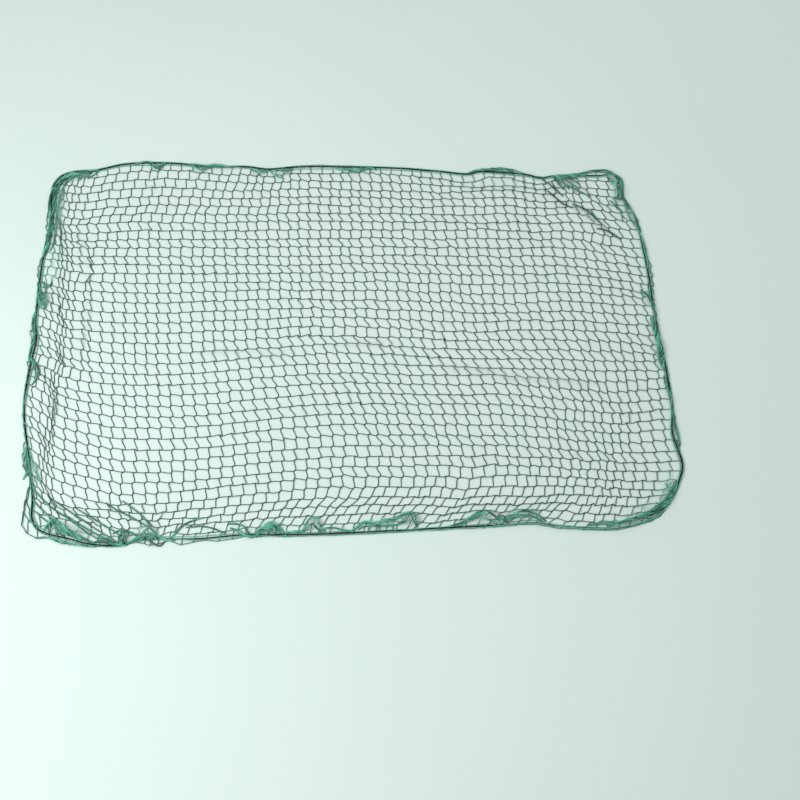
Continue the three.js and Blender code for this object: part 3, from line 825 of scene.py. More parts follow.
@dataclass
class NetLay:
    """Where every crossing of the lattice lies. Index u counts columns to the right, v rows away.

    pitch and row_pitch are a mesh's width and depth as laid out, side_limit is its yarn's length from
    crossing to crossing, and spread is how many meshes the left, right, lower and upper sides pull at.
    """

    rim: RimLine
    relief: Relief
    rng: np.random.Generator
    columns: int = 60
    rows: int = 40
    pitch: float = 0.0518
    row_pitch: float = 0.0515
    row_narrowing: float = 0.00008
    side_limit: float = 0.0562
    right_side: float = 1.485
    middle_y: float = 0.02
    skew: float = -0.0617
    corners: tuple[tuple[float, float], ...] = ((-1412, -850), (1340, -920), (1362, 945), (-1465, 968))
    spread: tuple[int, int, int, int] = (17, 9, 9, 9)
    packed_columns: float = 6.0
    packed_from_row: float = 21.0
    edge_drift: float = 0.1
    edge_rough: float = 1.6 * MM
    pleat_half: float = 18 * MM
    pleat_fade: float = 160 * MM
    pinch_fade: float = 0.25
    odd_share: float = 0.07
    odd_move: tuple[float, float] = (7.0, 6.0)
    relax_rounds: int = 160

    def ideal(self) -> np.ndarray:
        """The grid as it would lie without a rim: even columns leaning a little, rows slightly narrowing
        away from the viewer, then slid at the shear bands and lowered at the sags.

        Returns:
            Points of shape (columns + 1, rows + 1, 2).
        """
        u, v = np.meshgrid(np.arange(self.columns + 1.0), np.arange(self.rows + 1.0), indexing="ij")
        from_middle = v - self.rows / 2
        y = self.middle_y + self.row_pitch * from_middle - self.row_narrowing * from_middle ** 2
        x = self.right_side - self.pitch * (self.columns - u) + self.skew * y
        shift, drop = np.zeros_like(x), np.zeros_like(x)
        for row in SHEARS:
            across = swell((x - row.x * MM) / (row.half_x * MM))
            shift += row.slide * MM * across * soft_step((row.y * MM - y) / (row.half_y * MM))
        for row in SAGS:
            across = swell((x - row.x * MM) / (row.half_x * MM))
            drop += row.drop * MM * across * swell((y - row.y * MM) / (row.half_y * MM))
        return np.stack([x + shift, y - drop], -1)

    def side(self, start: float, end: float, count: int) -> np.ndarray:
        """Places of the edge crossings along one side of the rim, closer together at the bunches.

        Args:
            start: Length along the rim of the side's first corner.
            end: Length along the rim of its last corner, larger than start.
            count: How many meshes the side has.

        Returns:
            Points just outside the cord, shape (count + 1, 2).
        """
        fine = np.linspace(start, end, 3000)
        weight = np.ones_like(fine)
        for row in BUNCHES:
            crowd = row.meshes * self.pitch / (row.half * MM)
            weight += crowd * swell(self.relief.reach_along(row, fine))
        weight += self.edge_drift * np.interp(fine, np.linspace(start, end, 40), self.rng.normal(size=40))
        total = np.concatenate([[0.0], np.cumsum(0.5 * (weight[1:] + weight[:-1]))])
        along = np.interp(np.linspace(0, total[-1], count + 1), total, fine)
        width, _ = self.relief.lobe(along)
        uneven = np.abs(self.rng.normal(0, self.edge_rough, count + 1))
        return self.rim.place(along, -width - uneven)

    def edges(self) -> tuple[np.ndarray, np.ndarray, np.ndarray, np.ndarray]:
        """The four sides of the lattice on the rim.

        Returns:
            Points of the bottom and top by u, shape (columns + 1, 2), and of the left and right by v,
            shape (rows + 1, 2).
        """
        places = [self.rim.nearest_along(*corner) for corner in self.corners]
        middle = 0.43 * self.rim.length
        low_left, low_right, up_right, up_left = middle + self.rim.apart(np.array(places), middle)
        bottom = self.side(low_left, low_right, self.columns)
        right = self.side(low_right, up_right, self.rows)
        top = self.side(up_right, up_left, self.columns)[::-1]
        left = self.side(up_left, low_left + self.rim.length, self.rows)[::-1]
        left[0], right[0] = bottom[0], bottom[-1]
        left[-1], right[-1] = top[0], top[-1]
        return bottom, top, left, right

    def left_fade(self, wide: np.ndarray) -> np.ndarray:
        """The left side's fade, which in the upper rows packs all the surplus into the first columns.

        Args:
            wide: The fade by column that the lower rows keep.

        Returns:
            Fades of shape (columns + 1, rows + 1).
        """
        u = np.arange(self.columns + 1)[:, None]
        packed = (1 - u / self.packed_columns).clip(0) ** 1.3
        share = soft_step((np.arange(self.rows + 1)[None] - self.packed_from_row) / 6)
        return (1 - share) * wide[:, None] + share * packed

    def drawn_to_rim(self, grid: np.ndarray) -> np.ndarray:
        """Moves the grid's sides onto the rim, and the meshes behind them less and less.

        The move is the Boolean sum of two blends: each side's move fades with the square of the
        distance to it, and what both blends say of the corners is taken off once.

        Args:
            grid: Points of shape (columns + 1, rows + 1, 2).

        Returns:
            The moved grid, of the same shape.
        """
        bottom, top, left, right = self.edges()
        low, high = bottom - grid[:, 0], top - grid[:, -1]
        near, far = left - grid[0], right - grid[-1]
        counts = (self.columns, self.columns, self.rows, self.rows)
        from_left, from_right, from_low, from_high = (
            (1 - np.arange(count + 1) / over).clip(0) ** 2 for count, over in zip(counts, self.spread)
        )
        from_left = self.left_fade(from_left)
        by_u = [from_left[..., None], from_right[::-1][:, None, None]]
        by_v = [from_low[None, :, None], from_high[::-1][None, :, None]]
        across = by_u[0] * near[None] + by_u[1] * far[None]
        upright = by_v[0] * low[:, None] + by_v[1] * high[:, None]
        both = (
            by_u[0] * (by_v[0] * low[0] + by_v[1] * high[0])
            + by_u[1] * by_v[0] * low[-1] + by_u[1] * by_v[1] * high[-1]
        )
        return grid + across + upright - both

    def pleated(self, grid: np.ndarray) -> np.ndarray:
        """Draws netting together at each pleat: both sides step towards its line, fading away from it.

        Args:
            grid: Points of shape (columns + 1, rows + 1, 2).

        Returns:
            The moved grid, of the same shape.
        """
        spots = grid.reshape(-1, 2)
        move = np.zeros_like(spots)
        for row in PLEATS:
            share, across, left = row.measure(spots)
            step = np.tanh(across / self.pleat_half) * np.exp(-np.abs(across) / self.pleat_fade)
            along = soft_step(4 * share - 0.4) * soft_step(4 * (1 - share) - 0.4)
            move -= left * (0.5 * row.draw * MM * step * along)[:, None]
        return (spots + move).reshape(grid.shape)

    def pinched(self, grid: np.ndarray) -> np.ndarray:
        """Closes up columns of meshes: both their sides step together, and less so further away.

        Args:
            grid: Points of shape (columns + 1, rows + 1, 2).

        Returns:
            The moved grid, of the same shape.
        """
        u, v = np.meshgrid(np.arange(self.columns + 1.0), np.arange(self.rows + 1.0), indexing="ij")
        grid = grid.copy()
        for row in PINCHES:
            away = u - row.column - 0.5
            along = soft_step((v - row.from_row) / 2) * soft_step((row.to_row - v) / 2.5)
            step = np.sign(away) * np.exp(self.pinch_fade * (0.5 - np.abs(away)))
            grid[..., 0] -= 0.5 * row.closed * MM * step * along
        return grid

    def jostled(self, grid: np.ndarray) -> np.ndarray:
        """Adds what handling has done: smooth noise for each unrest, and a few crossings far off.

        Args:
            grid: Points of shape (columns + 1, rows + 1, 2).

        Returns:
            The moved grid, of the same shape.
        """
        move = np.zeros_like(grid)
        for row in UNRESTS:
            move[..., row.axis] += row.size * soft_noise(self.rng, grid.shape[:2], row.reach)
        odd = (self.rng.random(grid.shape[:2]) < self.odd_share) * 1.0
        for axis, size in enumerate(self.odd_move):
            move[..., axis] += odd * self.rng.normal(0, size, grid.shape[:2])
        return grid + move * MM

    def relaxed(self, grid: np.ndarray) -> np.ndarray:
        """Shortens every mesh side that is longer than its yarn, over and over, with the sides pinned.

        In each round a too long mesh side moves its two ends together by half of what it is over.

        Args:
            grid: Points of shape (columns + 1, rows + 1, 2), whose outer points stay.

        Returns:
            The relaxed grid.
        """
        grid = grid.copy()
        free = np.zeros(grid.shape[:2] + (1,))
        free[1:-1, 1:-1] = 1.0
        for _ in range(self.relax_rounds):
            for axis in (0, 1):
                for parity in (0, 1):
                    count = (grid.shape[axis] - parity) // 2 * 2
                    pick = [slice(None)] * 2
                    pick[axis] = slice(parity, parity + count, 2)
                    first = tuple(pick)
                    pick[axis] = slice(parity + 1, parity + count, 2)
                    second = tuple(pick)
                    a, b = grid[first], grid[second]
                    gap = b - a
                    length = np.linalg.norm(gap, axis=-1, keepdims=True)
                    over = np.maximum(0, length - self.side_limit) / length.clip(1e-9)
                    mobile = (free[first] + free[second]).clip(1)
                    grid[first] = a + gap * over * free[first] / mobile
                    grid[second] = b - gap * over * free[second] / mobile
        return grid

    def crossings(self) -> np.ndarray:
        """All steps in order: the ideal grid, drawn to the rim, pleated, pinched, jostled and relaxed.

        Returns:
            Points of shape (columns + 1, rows + 1, 2).
        """
        grid = self.drawn_to_rim(self.ideal())
        inner = self.jostled(self.pinched(self.pleated(grid)))
        inner[0], inner[-1], inner[:, 0], inner[:, -1] = grid[0], grid[-1], grid[:, 0], grid[:, -1]
        return self.relaxed(inner)


@dataclass
class TubeSet:
    """Collects round tubes along paths into one mesh, with UVs along the yarn and a density value."""

    name: str
    sides: int
    verts: list[np.ndarray] = field(default_factory=list)
    loops: list[np.ndarray] = field(default_factory=list)
    sizes: list[np.ndarray] = field(default_factory=list)
    uvs: list[np.ndarray] = field(default_factory=list)
    values: list[np.ndarray] = field(default_factory=list)
    tones: list[np.ndarray] = field(default_factory=list)
    count: int = 0

    def add(self, path: np.ndarray, radius: np.ndarray, value: np.ndarray, tone: float,
            closed: bool = False) -> None:
        """Adds one tube: at each path point a ring round the path, in the plane across it.

        A ring point is the path point plus the radius times the cosine along the level side vector and
        the sine along the upper one.

        Args:
            path: Points of shape (n, 3).
            radius: One radius, or n of them.
            value: How densely drawn up the yarn is, one value or n of them; the material paints light by it.
            tone: From 0 for the darkest yarn to 1 for the lightest, a random tone that in heaps also places
                the painted highlights.
            closed: Whether the last ring joins the first.
        """
        n = len(path)
        if closed:
            tangent = np.roll(path, -1, axis=0) - np.roll(path, 1, axis=0)
        else:
            tangent = np.gradient(path, axis=0)
        tangent = tangent / np.linalg.norm(tangent, axis=1, keepdims=True).clip(1e-12)
        level = np.stack([tangent[:, 1], -tangent[:, 0], np.full(n, 1e-6)], -1)
        level /= np.linalg.norm(level, axis=1, keepdims=True)
        upper = np.cross(level, tangent)
        angle = 2 * np.pi * np.arange(self.sides) / self.sides
        radius = np.broadcast_to(radius, n)[:, None, None]
        cos, sin = np.cos(angle)[None, :, None], np.sin(angle)[None, :, None]
        ring = path[:, None, :] + radius * (level[:, None, :] * cos + upper[:, None, :] * sin)
        i = np.arange(n if closed else n - 1)[:, None]
        j = np.arange(self.sides)[None, :]
        ahead, turn = (i + 1) % n, (j + 1) % self.sides
        quads = np.stack([i * self.sides + j, ahead * self.sides + j, ahead * self.sides + turn,
                          i * self.sides + turn], -1).reshape(-1, 4)
        step = np.linalg.norm(np.diff(path, axis=0, append=path[:1] if closed else path[-1:]), axis=1)
        run = np.concatenate([[0.0], np.cumsum(step)])
        here, there = run[i + 0 * j], run[i + 1 + 0 * j]
        left, right = (j + 0 * i) / self.sides, (j + 1 + 0 * i) / self.sides
        uv = np.stack([np.stack(pair, -1) for pair in
                       ((left, here), (left, there), (right, there), (right, here))], 2)
        self.verts.append(ring.reshape(-1, 3))
        self.values.append(np.repeat(np.broadcast_to(value, n), self.sides))
        self.tones.append(np.full(n * self.sides, tone))
        self.loops.append((quads + self.count).ravel())
        self.sizes.append(np.full(len(quads), 4))
        self.uvs.append(uv.reshape(-1, 2))
        if not closed:
            ends = np.stack([j[0], (n - 1) * self.sides + j[0][::-1]])
            self.loops.append((ends + self.count).ravel())
            self.sizes.append(np.full(2, self.sides))
            spread = np.tile(j[0] / self.sides, 2)
            self.uvs.append(np.stack([spread, np.repeat(run[[0, n - 1]], self.sides)], -1))
        self.count += n * self.sides

    def build(self) -> bpy.types.Object:
        """Makes the smooth mesh object, with the UV map Yarn and the attributes gathered and tone.

        Returns:
            The object, linked to the scene.
        """
        verts, loops, sizes = (np.concatenate(part) for part in (self.verts, self.loops, self.sizes))
        mesh = bpy.data.meshes.new(self.name)
        mesh.vertices.add(len(verts))
        mesh.vertices.foreach_set("co", verts.astype(np.float32).ravel())
        mesh.loops.add(len(loops))
        mesh.loops.foreach_set("vertex_index", loops.astype(np.int32))
        mesh.polygons.add(len(sizes))
        starts = np.concatenate([[0], np.cumsum(sizes)[:-1]])
        mesh.polygons.foreach_set("loop_start", starts.astype(np.int32))
        mesh.update(calc_edges=True)
        mesh.polygons.foreach_set("use_smooth", np.ones(len(sizes), bool))
        layer = mesh.uv_layers.new(name="Yarn")
        layer.data.foreach_set("uv", np.concatenate(self.uvs).astype(np.float32).ravel())
        for name, values in (("gathered", self.values), ("tone", self.tones)):
            layer = mesh.attributes.new(name, "FLOAT", "POINT")
            layer.data.foreach_set("value", np.concatenate(values).astype(np.float32))
        mesh.validate()
        piece = bpy.data.objects.new(self.name, mesh)
        bpy.context.scene.collection.objects.link(piece)
        return piece

    def triangles(self) -> int:
        """How many triangles the mesh makes."""
        return int(sum((part - 2).sum() for part in self.sizes))


@dataclass(frozen=True)
class Family:
    """One family of yarns: rows or columns.

    side tells on which side of the joints its yarns come in, bend how much of the joints' direction its
    legs keep, and rides how far its yarns lie over the other family's in a joint.
    """

    piece: str
    side: float
    bend: float
    rides: float


ROWS = Family("netting_rows", 1.0, 0.12, 1.8 * MM)
COLUMNS = Family("netting_columns", -1.0, 0.5, 0.0)


@dataclass
class Netting:
    """The sub-assembly of square-mesh netting: rows, columns, ropes of gathered meshes and rim yarns.

    joint is how long two yarns run side by side, joint_turn the joint's turn from the row towards the
    column, joint_unrest how unevenly it turns and joint_gap how far each yarn lies beside its middle.
    full_leg is the length of a leg without slack, and each rim line is a mean distance from the cord
    and a drift, in millimetres.
    """

    rim: RimLine
    relief: Relief
    view: PictureView
    shift: np.ndarray
    rng: np.random.Generator
    yarn: float = 3.8 * MM
    joint: float = 12.5 * MM
    joint_turn: float = math.radians(27)
    joint_unrest: float = 0.34
    joint_gap: float = 0.9 * MM
    edge_joint: float = 0.3
    leg_steps: int = 5
    sides: int = 6
    full_leg: float = 46 * MM
    most_slack: float = 20 * MM
    least_bow: float = 0.8 * MM
    slack_bow: float = 0.14
    cord_top: float = 9.9 * MM
    cord_climb: float = 8 * MM
    cord_clear: float = 14 * MM
    loose: float = 1.2 * MM
    yarns_a_mesh: int = 3
    rope_sides: int = 5
    rope_yarn: float = 4.4 * MM
    rope_twist: float = 0.11
    picture_step: float = 1.5
    ground_a_pixel: float = 4.9 * MM
    rim_steps: int = 1300
    rim_lines: tuple[tuple[float, float], ...] = ((-5.5, 2.0), (6.0, 4.0))

    def over_cord(self, inwards: np.ndarray) -> np.ndarray:
        """Height that clears the cord: a bell curve of the distance from it."""
        return (self.cord_top + 0.5 * self.yarn) * np.exp(-(inwards / self.cord_climb) ** 2)

    def joints(self, grid: np.ndarray) -> np.ndarray:
        """The joints' vectors: short lines between the directions of rows and columns.

        In a knotless joint two yarns run side by side, so that each mesh has two blunt corners. The
        joint turns with its meshes, shortens where they close, and has some unrest of its own.

        Args:
            grid: Crossings of shape (columns + 1, rows + 1, 2).

        Returns:
            Vectors of the same shape.
        """
        right, away = np.gradient(grid, axis=0), np.gradient(grid, axis=1)
        whole = math.cos(self.joint_turn) * right + math.sin(self.joint_turn) * away
        size = np.linalg.norm(whole, axis=-1, keepdims=True)
        drift = self.joint_unrest * soft_noise(self.rng, grid.shape[:2], (1.5, 0.5))
        turn = drift + 0.6 * self.joint_unrest * self.rng.normal(size=grid.shape[:2])
        cos, sin = np.cos(turn)[..., None], np.sin(turn)[..., None]
        across = np.stack([-whole[..., 1], whole[..., 0]], -1)
        vector = (cos * whole + sin * across) / size.clip(1e-9) * np.minimum(self.joint, 0.3 * size)
        edge = np.ones(grid.shape[:2] + (1,))
        edge[[0, -1]] = edge[:, [0, -1]] = self.edge_joint
        return vector * edge

    def thread(self, grid: np.ndarray, joint: np.ndarray, family: Family) -> np.ndarray:
        """Yarns that run through their joints and, between them, along bent legs.

        A leg is a cubic Hermite curve whose end slopes are part joint and part chord, with a bow for
        the yarn's slack.

        Args:
            grid: Crossings of shape (yarns, n, 2).
            joint: The joints' vectors, same shape.
            family: The family of the yarns.

        Returns:
            Points of shape (yarns, (n - 1) * (leg_steps + 1) + 2, 2).
        """
        size = np.linalg.norm(joint, axis=-1, keepdims=True).clip(1e-9)
        aside = np.stack([-joint[..., 1], joint[..., 0]], -1) / size * self.joint_gap * family.side
        enter, leave = grid - 0.5 * joint + aside, grid + 0.5 * joint - aside
        chord = enter[:, 1:] - leave[:, :-1]
        length = np.linalg.norm(chord, axis=-1, keepdims=True).clip(1e-9)
        ahead, bend = joint / size, family.bend
        out = (1 - bend) * chord + bend * length * ahead[:, :-1]
        home = (1 - bend) * chord + bend * length * ahead[:, 1:]
        t = (np.arange(1, self.leg_steps) / self.leg_steps)[None, None, :, None]
        leg = (
            (2 * t ** 3 - 3 * t ** 2 + 1) * leave[:, :-1, None] + (t ** 3 - 2 * t ** 2 + t) * out[:, :, None]
            + (3 * t ** 2 - 2 * t ** 3) * enter[:, 1:, None] + (t ** 3 - t ** 2) * home[:, :, None]
        )
        slack = (self.full_leg - length).clip(0, self.most_slack)
        bow = self.rng.normal(0, 1, length.shape) * (self.least_bow + self.slack_bow * slack)
        aside = np.stack([-chord[..., 1], chord[..., 0]], -1) / length
        leg = leg + (bow * aside)[:, :, None] * np.sin(np.pi * t)
        knots = np.stack([enter, leave], axis=2)
        run = np.concatenate([knots[:, :-1], leg], axis=2).reshape(len(grid), -1, 2)
        return np.concatenate([run, knots[:, -1]], axis=1)

    def heights(self, path: np.ndarray, lift: np.ndarray) -> tuple[np.ndarray, np.ndarray]:
        """Heights and densities along yarns.

        A yarn rests on the relief, and is lifted where it rides over another at a joint. At the cord
        every second yarn climbs over it.

        Args:
            path: Points of shape (yarns, n, 2).
            lift: Lifts along the yarns, shape (n,).

        Returns:
            Heights of the yarns' centres and their densities, both of shape (yarns, n).
        """
        spots = path.reshape(-1, 2)
        along, inwards = self.rim.measure(spots)
        rest = self.relief.over(spots, along, inwards) + 0.5 * self.yarn
        clear = 1 - np.exp(-(inwards / self.cord_clear) ** 2)
        loose = np.abs(soft_noise(self.rng, path.shape[:2], (0.3, 2.0))).ravel() * self.loose
        rest = rest + (np.tile(lift, len(path)) + loose) * clear
        over = np.repeat(np.arange(len(path)) % 2, path.shape[1])
        rest = np.maximum(rest, self.over_cord(inwards) * over)
        dense = self.relief.gathered(along, inwards)
        return rest.reshape(path.shape[:2]), dense.reshape(path.shape[:2])

    def weave(self, family: Family, grid: np.ndarray, joint: np.ndarray) -> bpy.types.Object:
        """One family of yarns as a mesh.

        Args:
            family: The family.
            grid: Crossings of shape (yarns, n, 2).
            joint: The joints' vectors, same shape.

        Returns:
            The mesh object.
        """
        path = self.thread(grid, joint, family)
        period = self.leg_steps + 1
        at_joint = np.arange(path.shape[1]) % period < 2
        z, dense = self.heights(path, np.where(at_joint, 1.0, 0.2) * family.rides)
        radius = 0.5 * self.yarn * np.where(at_joint, 1.08, 1.0)
        tubes = TubeSet(family.piece, self.sides)
        tones = self.rng.uniform(0.25, 0.75, len(path))
        for line, height, value, tone in zip(path, z, dense, tones):
            points = np.concatenate([line + self.shift, height[:, None]], axis=1)
            tubes.add(points, radius, value, tone)
        log.info("%s: %d yarns, %d triangles", family.piece, len(path), tubes.triangles())
        return tubes.build()

    def laid(self, picture: np.ndarray) -> tuple[np.ndarray, np.ndarray, np.ndarray]:
        """Places of picture points on the relief, found in a few rounds of sight line and height.

        Args:
            picture: Points of shape (n, 2) in the photograph's picture.

        Returns:
            Points of shape (n, 2), the relief's heights there and the distances from the cord.
        """
        height = np.full(len(picture), 4 * MM)
        for _ in range(4):
            spots = self.view.place(picture, height)
            along, inwards = self.rim.measure(spots)
            height = np.maximum(self.relief.heap(along, inwards), 0.4 * self.over_cord(inwards))
        return spots, height, inwards

    def rope(self, tubes: TubeSet, row: Rope) -> None:
        """Lays the strands of one rope: each winds round its line, and they nearly meet at the ends.

        A strand's place across is the rope's half width times a cosine of its turn, its height half of
        that times one more than the sine. The rope lies over the other yarns, and its ends go down
        between them.

        Args:
            tubes: The mesh that the strands go to.
            row: The rope.
        """
        rng = self.rng
        marks = np.array(row.picture, float)
        steps = np.linalg.norm(np.diff(marks, axis=0), axis=1)
        count = max(7, int(steps.sum() / self.picture_step))
        share = np.concatenate([[0.0], np.cumsum(steps)]) / steps.sum()
        t = np.linspace(0, 1, count)
        picture = np.stack([np.interp(t, share, marks[:, axis]) for axis in (0, 1)], -1)
        picture[1:-1] = 0.25 * picture[:-2] + 0.5 * picture[1:-1] + 0.25 * picture[2:]
        spots, rest, inwards = self.laid(picture)
        ahead = np.gradient(spots, axis=0)
        ahead /= np.linalg.norm(ahead, axis=1, keepdims=True).clip(1e-9)
        left = np.stack([-ahead[:, 1], ahead[:, 0]], -1)
        body = 0.5 * row.width * MM * (0.35 + 0.65 * np.sin(np.pi * t) ** 0.7)
        turns = rng.uniform(0.5, 1.3) * steps.sum() * self.ground_a_pixel / self.rope_twist
        floor = rest + 0.5 * self.rope_yarn + self.yarn * np.sin(np.pi * t) ** 0.4
        strands = self.yarns_a_mesh * row.meshes
        for k in range(strands):
            wobble = np.interp(t, np.linspace(0, 1, 6), rng.normal(0, 0.5, 6))
            phase = 2 * np.pi * (k / strands + turns * t) + wobble
            across = body * np.cos(phase) + 0.5 * MM * wobble
            z = floor + 0.5 * body * (1 + np.sin(phase)) + 0.6 * MM * np.abs(wobble)
            z = np.maximum(z, self.over_cord(inwards) + 0.3 * body * (1 + np.sin(phase)))
            points = np.concatenate([spots + left * across[:, None] + self.shift, z[:, None]], axis=1)
            # The rope's gathered value sets the strands' painted heap light, and the random tone their
            # painted highlights.
            tubes.add(points, 0.5 * self.rope_yarn, row.gathered, rng.beta(0.7, 1.0))

    def ropes(self) -> bpy.types.Object:
        """All ropes of gathered netting as one mesh.

        Returns:
            The mesh object.
        """
        tubes = TubeSet("netting_ropes", self.rope_sides)
        for row in ROPES:
            self.rope(tubes, row)
        log.info("netting_ropes: %d ropes, %d triangles", len(ROPES), tubes.triangles())
        return tubes.build()

    def rim_yarns(self) -> bpy.types.Object:
        """Edge meshes drawn up along the cord: yarns that wander from one side of it to the other.

        A rim yarn's distance from the cord drifts by smooth noise, and it climbs over the cord where
        they cross.

        Returns:
            The mesh object.
        """
        rng, count = self.rng, self.rim_steps
        tubes = TubeSet("netting_rim", self.sides)
        along = np.arange(count) / count * self.rim.length
        for middle, swing in self.rim_lines:
            drift = swing * soft_noise(rng, (count,), (16,)) + 0.8 * soft_noise(rng, (count,), (4,))
            inwards = (middle + drift) * MM
            spots = self.rim.place(along, inwards) + self.shift
            lift = np.abs(soft_noise(rng, (count,), (10,))) * 1.5 * MM
            z = np.maximum(0.5 * self.yarn + 1.2 * MM + lift, self.over_cord(inwards))
            # Densities near 1, so the rim yarns get the painted light of heaped yarn.
            dense = (0.8 + 0.2 * soft_noise(rng, (count,), (14,))).clip(0, 1)
            path = np.concatenate([spots, z[:, None]], axis=1)
            tubes.add(path, 0.48 * self.yarn, dense, rng.uniform(0.2, 0.8), closed=True)
        log.info("netting_rim: %d triangles", tubes.triangles())
        return tubes.build()

    def build(self) -> list[bpy.types.Object]:
        """Makes the four pieces of netting and dresses them.

        Returns:
            The pieces: rows, columns, ropes and rim yarns.
        """
        grid = NetLay(self.rim, self.relief, self.rng).crossings()
        joint = self.joints(grid)
        flip = (1, 0, 2)
        rows = self.weave(ROWS, grid.transpose(flip), joint.transpose(flip))
        columns = self.weave(COLUMNS, grid, joint)
        pieces = [rows, columns, self.ropes(), self.rim_yarns()]
        finish = YarnFinish().material()
        for piece in pieces:
            dress(piece, finish, Solid.NETTING)
        return pieces


@dataclass
class BorderCord:
    """The elastic cord round the rim, a closed loop with a braided cover."""

    rim: RimLine
    shift: np.ndarray
    diameter: float = 6 * MM
    height: float = 6.8 * MM
    steps: int = 1400
    sides: int = 12

    def build(self) -> bpy.types.Object:
        """Carries a circle along the rim line at the cord's height.

        Returns:
            The mesh object.
        """
        along = np.arange(self.steps) / self.steps * self.rim.length
        spots = self.rim.at(along) + self.shift
        path = np.concatenate([spots, np.full((self.steps, 1), self.height)], axis=1)
        tubes = TubeSet("elastic_cord", self.sides)
        tubes.add(path, 0.5 * self.diameter, 0.0, 0.0, closed=True)
        piece = tubes.build()
        dress(piece, CordFinish().material(), Solid.CORD)
        log.info("elastic_cord: %.2f m round, %d triangles", self.rim.length, tubes.triangles())
        return piece


class Wire:
    """A shader socket that takes part in arithmetic: every operator adds a Math node."""

    def __init__(self, shader: "Shader", socket: bpy.types.NodeSocket) -> None:
        """Keeps the shader and the output socket that this value comes from."""
        self.shader, self.socket = shader, socket

    def _math(self, operation: str, *values: "Wire | float") -> "Wire":
        """A Math node of that operation on the values."""
        return self.shader.node("ShaderNodeMath", {"operation": operation}, dict(enumerate(values)))

    def __add__(self, other: "Wire | float") -> "Wire":
        """Sum."""
        return self._math("ADD", self, other)

    def __radd__(self, other: float) -> "Wire":
        """Sum with a number on the left."""
        return self._math("ADD", other, self)

    def __sub__(self, other: "Wire | float") -> "Wire":
        """Difference."""
        return self._math("SUBTRACT", self, other)

    def __rsub__(self, other: float) -> "Wire":
        """Difference from a number on the left."""
        return self._math("SUBTRACT", other, self)

    def __mul__(self, other: "Wire | float") -> "Wire":
        """Product."""
        return self._math("MULTIPLY", self, other)

    def __rmul__(self, other: float) -> "Wire":
        """Product with a number on the left."""
        return self._math("MULTIPLY", other, self)

    def sine(self) -> "Wire":
        """Sine of the value."""
        return self._math("SINE", self)

    def clamped(self) -> "Wire":
        """The value kept between 0 and 1."""
        return self._math("MINIMUM", self._math("MAXIMUM", self, 0.0), 1.0)


class Shader:
    """A material's node tree, with one method that adds any node."""

    def __init__(self, name: str) -> None:
        """Makes an empty material with a Principled shader wired to its output.

        Args:
            name: The material's name.
        """
        self.material = bpy.data.materials.new(name)
        self.material.use_nodes = True
        self.tree = self.material.node_tree
        self.tree.nodes.clear()
        self.surface = self.tree.nodes.new("ShaderNodeBsdfPrincipled")
        output = self.tree.nodes.new("ShaderNodeOutputMaterial")
        self.tree.links.new(self.surface.outputs[0], output.inputs["Surface"])

    def node(self, kind: str, settings: dict | None = None, inputs: dict | None = None,
             output: int | str = 0) -> Wire:
        """Adds a node.

        Args:
            kind: The node's type name.
            settings: Properties that are set before its sockets.
            inputs: Values or wires by socket name or number.
            output: Which output the returned wire leaves by.

        Returns:
            The wire from that output.
        """
        made = self.tree.nodes.new(kind)
        for key, value in (settings or {}).items():
            setattr(made, key, value)
        for key, value in (inputs or {}).items():
            self.feed(made.inputs[key], value)
        return Wire(self, made.outputs[output])

    def feed(self, socket: bpy.types.NodeSocket, value: "Wire | float | tuple") -> None:
        """Links a wire to a socket, or sets the socket's own value.

        Args:
            socket: The input that takes it.
            value: The wire, number, vector or colour.
        """
        if isinstance(value, Wire):
            self.tree.links.new(value.socket, socket)
        else:
            socket.default_value = value

    def set(self, **sockets: "Wire | float | tuple") -> None:
        """Feeds the Principled shader's sockets, named with underscores for spaces."""
        for key, value in sockets.items():
            self.feed(self.surface.inputs[key.replace("_", " ")], value)

    def mix(self, share: Wire, first: "Wire | tuple", second: "Wire | tuple") -> Wire:
        """A colour between two, by share."""
        return self.node(
            "ShaderNodeMix", {"data_type": "RGBA"}, {0: share, 6: first, 7: second}, output=2
        )

    def noise(self, scale: float, detail: float = 2.0) -> Wire:
        """Noise from 0 to 1 in the object's own metres."""
        place = self.node("ShaderNodeTexCoord", output="Object")
        return self.node("ShaderNodeTexNoise", {}, {"Vector": place, "Scale": scale, "Detail": detail})

    def uv(self) -> tuple[Wire, Wire]:
        """Reads the piece's UV map.

        Returns:
            Turns round the yarn and metres along it.
        """
        place = self.node("ShaderNodeUVMap", {"uv_map": "Yarn"})
        turns = self.node("ShaderNodeSeparateXYZ", {}, {0: place})
        return turns, Wire(self, turns.socket.node.outputs[1])

    def bump(self, height: Wire, distance: float) -> Wire:
        """A bump of that height in metres."""
        return self.node("ShaderNodeBump", {}, {"Height": height, "Distance": distance, "Strength": 1.0})


def colour(red: int, green: int, blue: int) -> tuple[float, float, float, float]:
    """A colour given as it looks on a screen, 0 to 255, as the linear values that shaders take."""
    linear = [((c / 255 + 0.055) / 1.055) ** 2.4 if c > 10 else c / 255 / 12.92 for c in (red, green, blue)]
    return (*linear, 1.0)


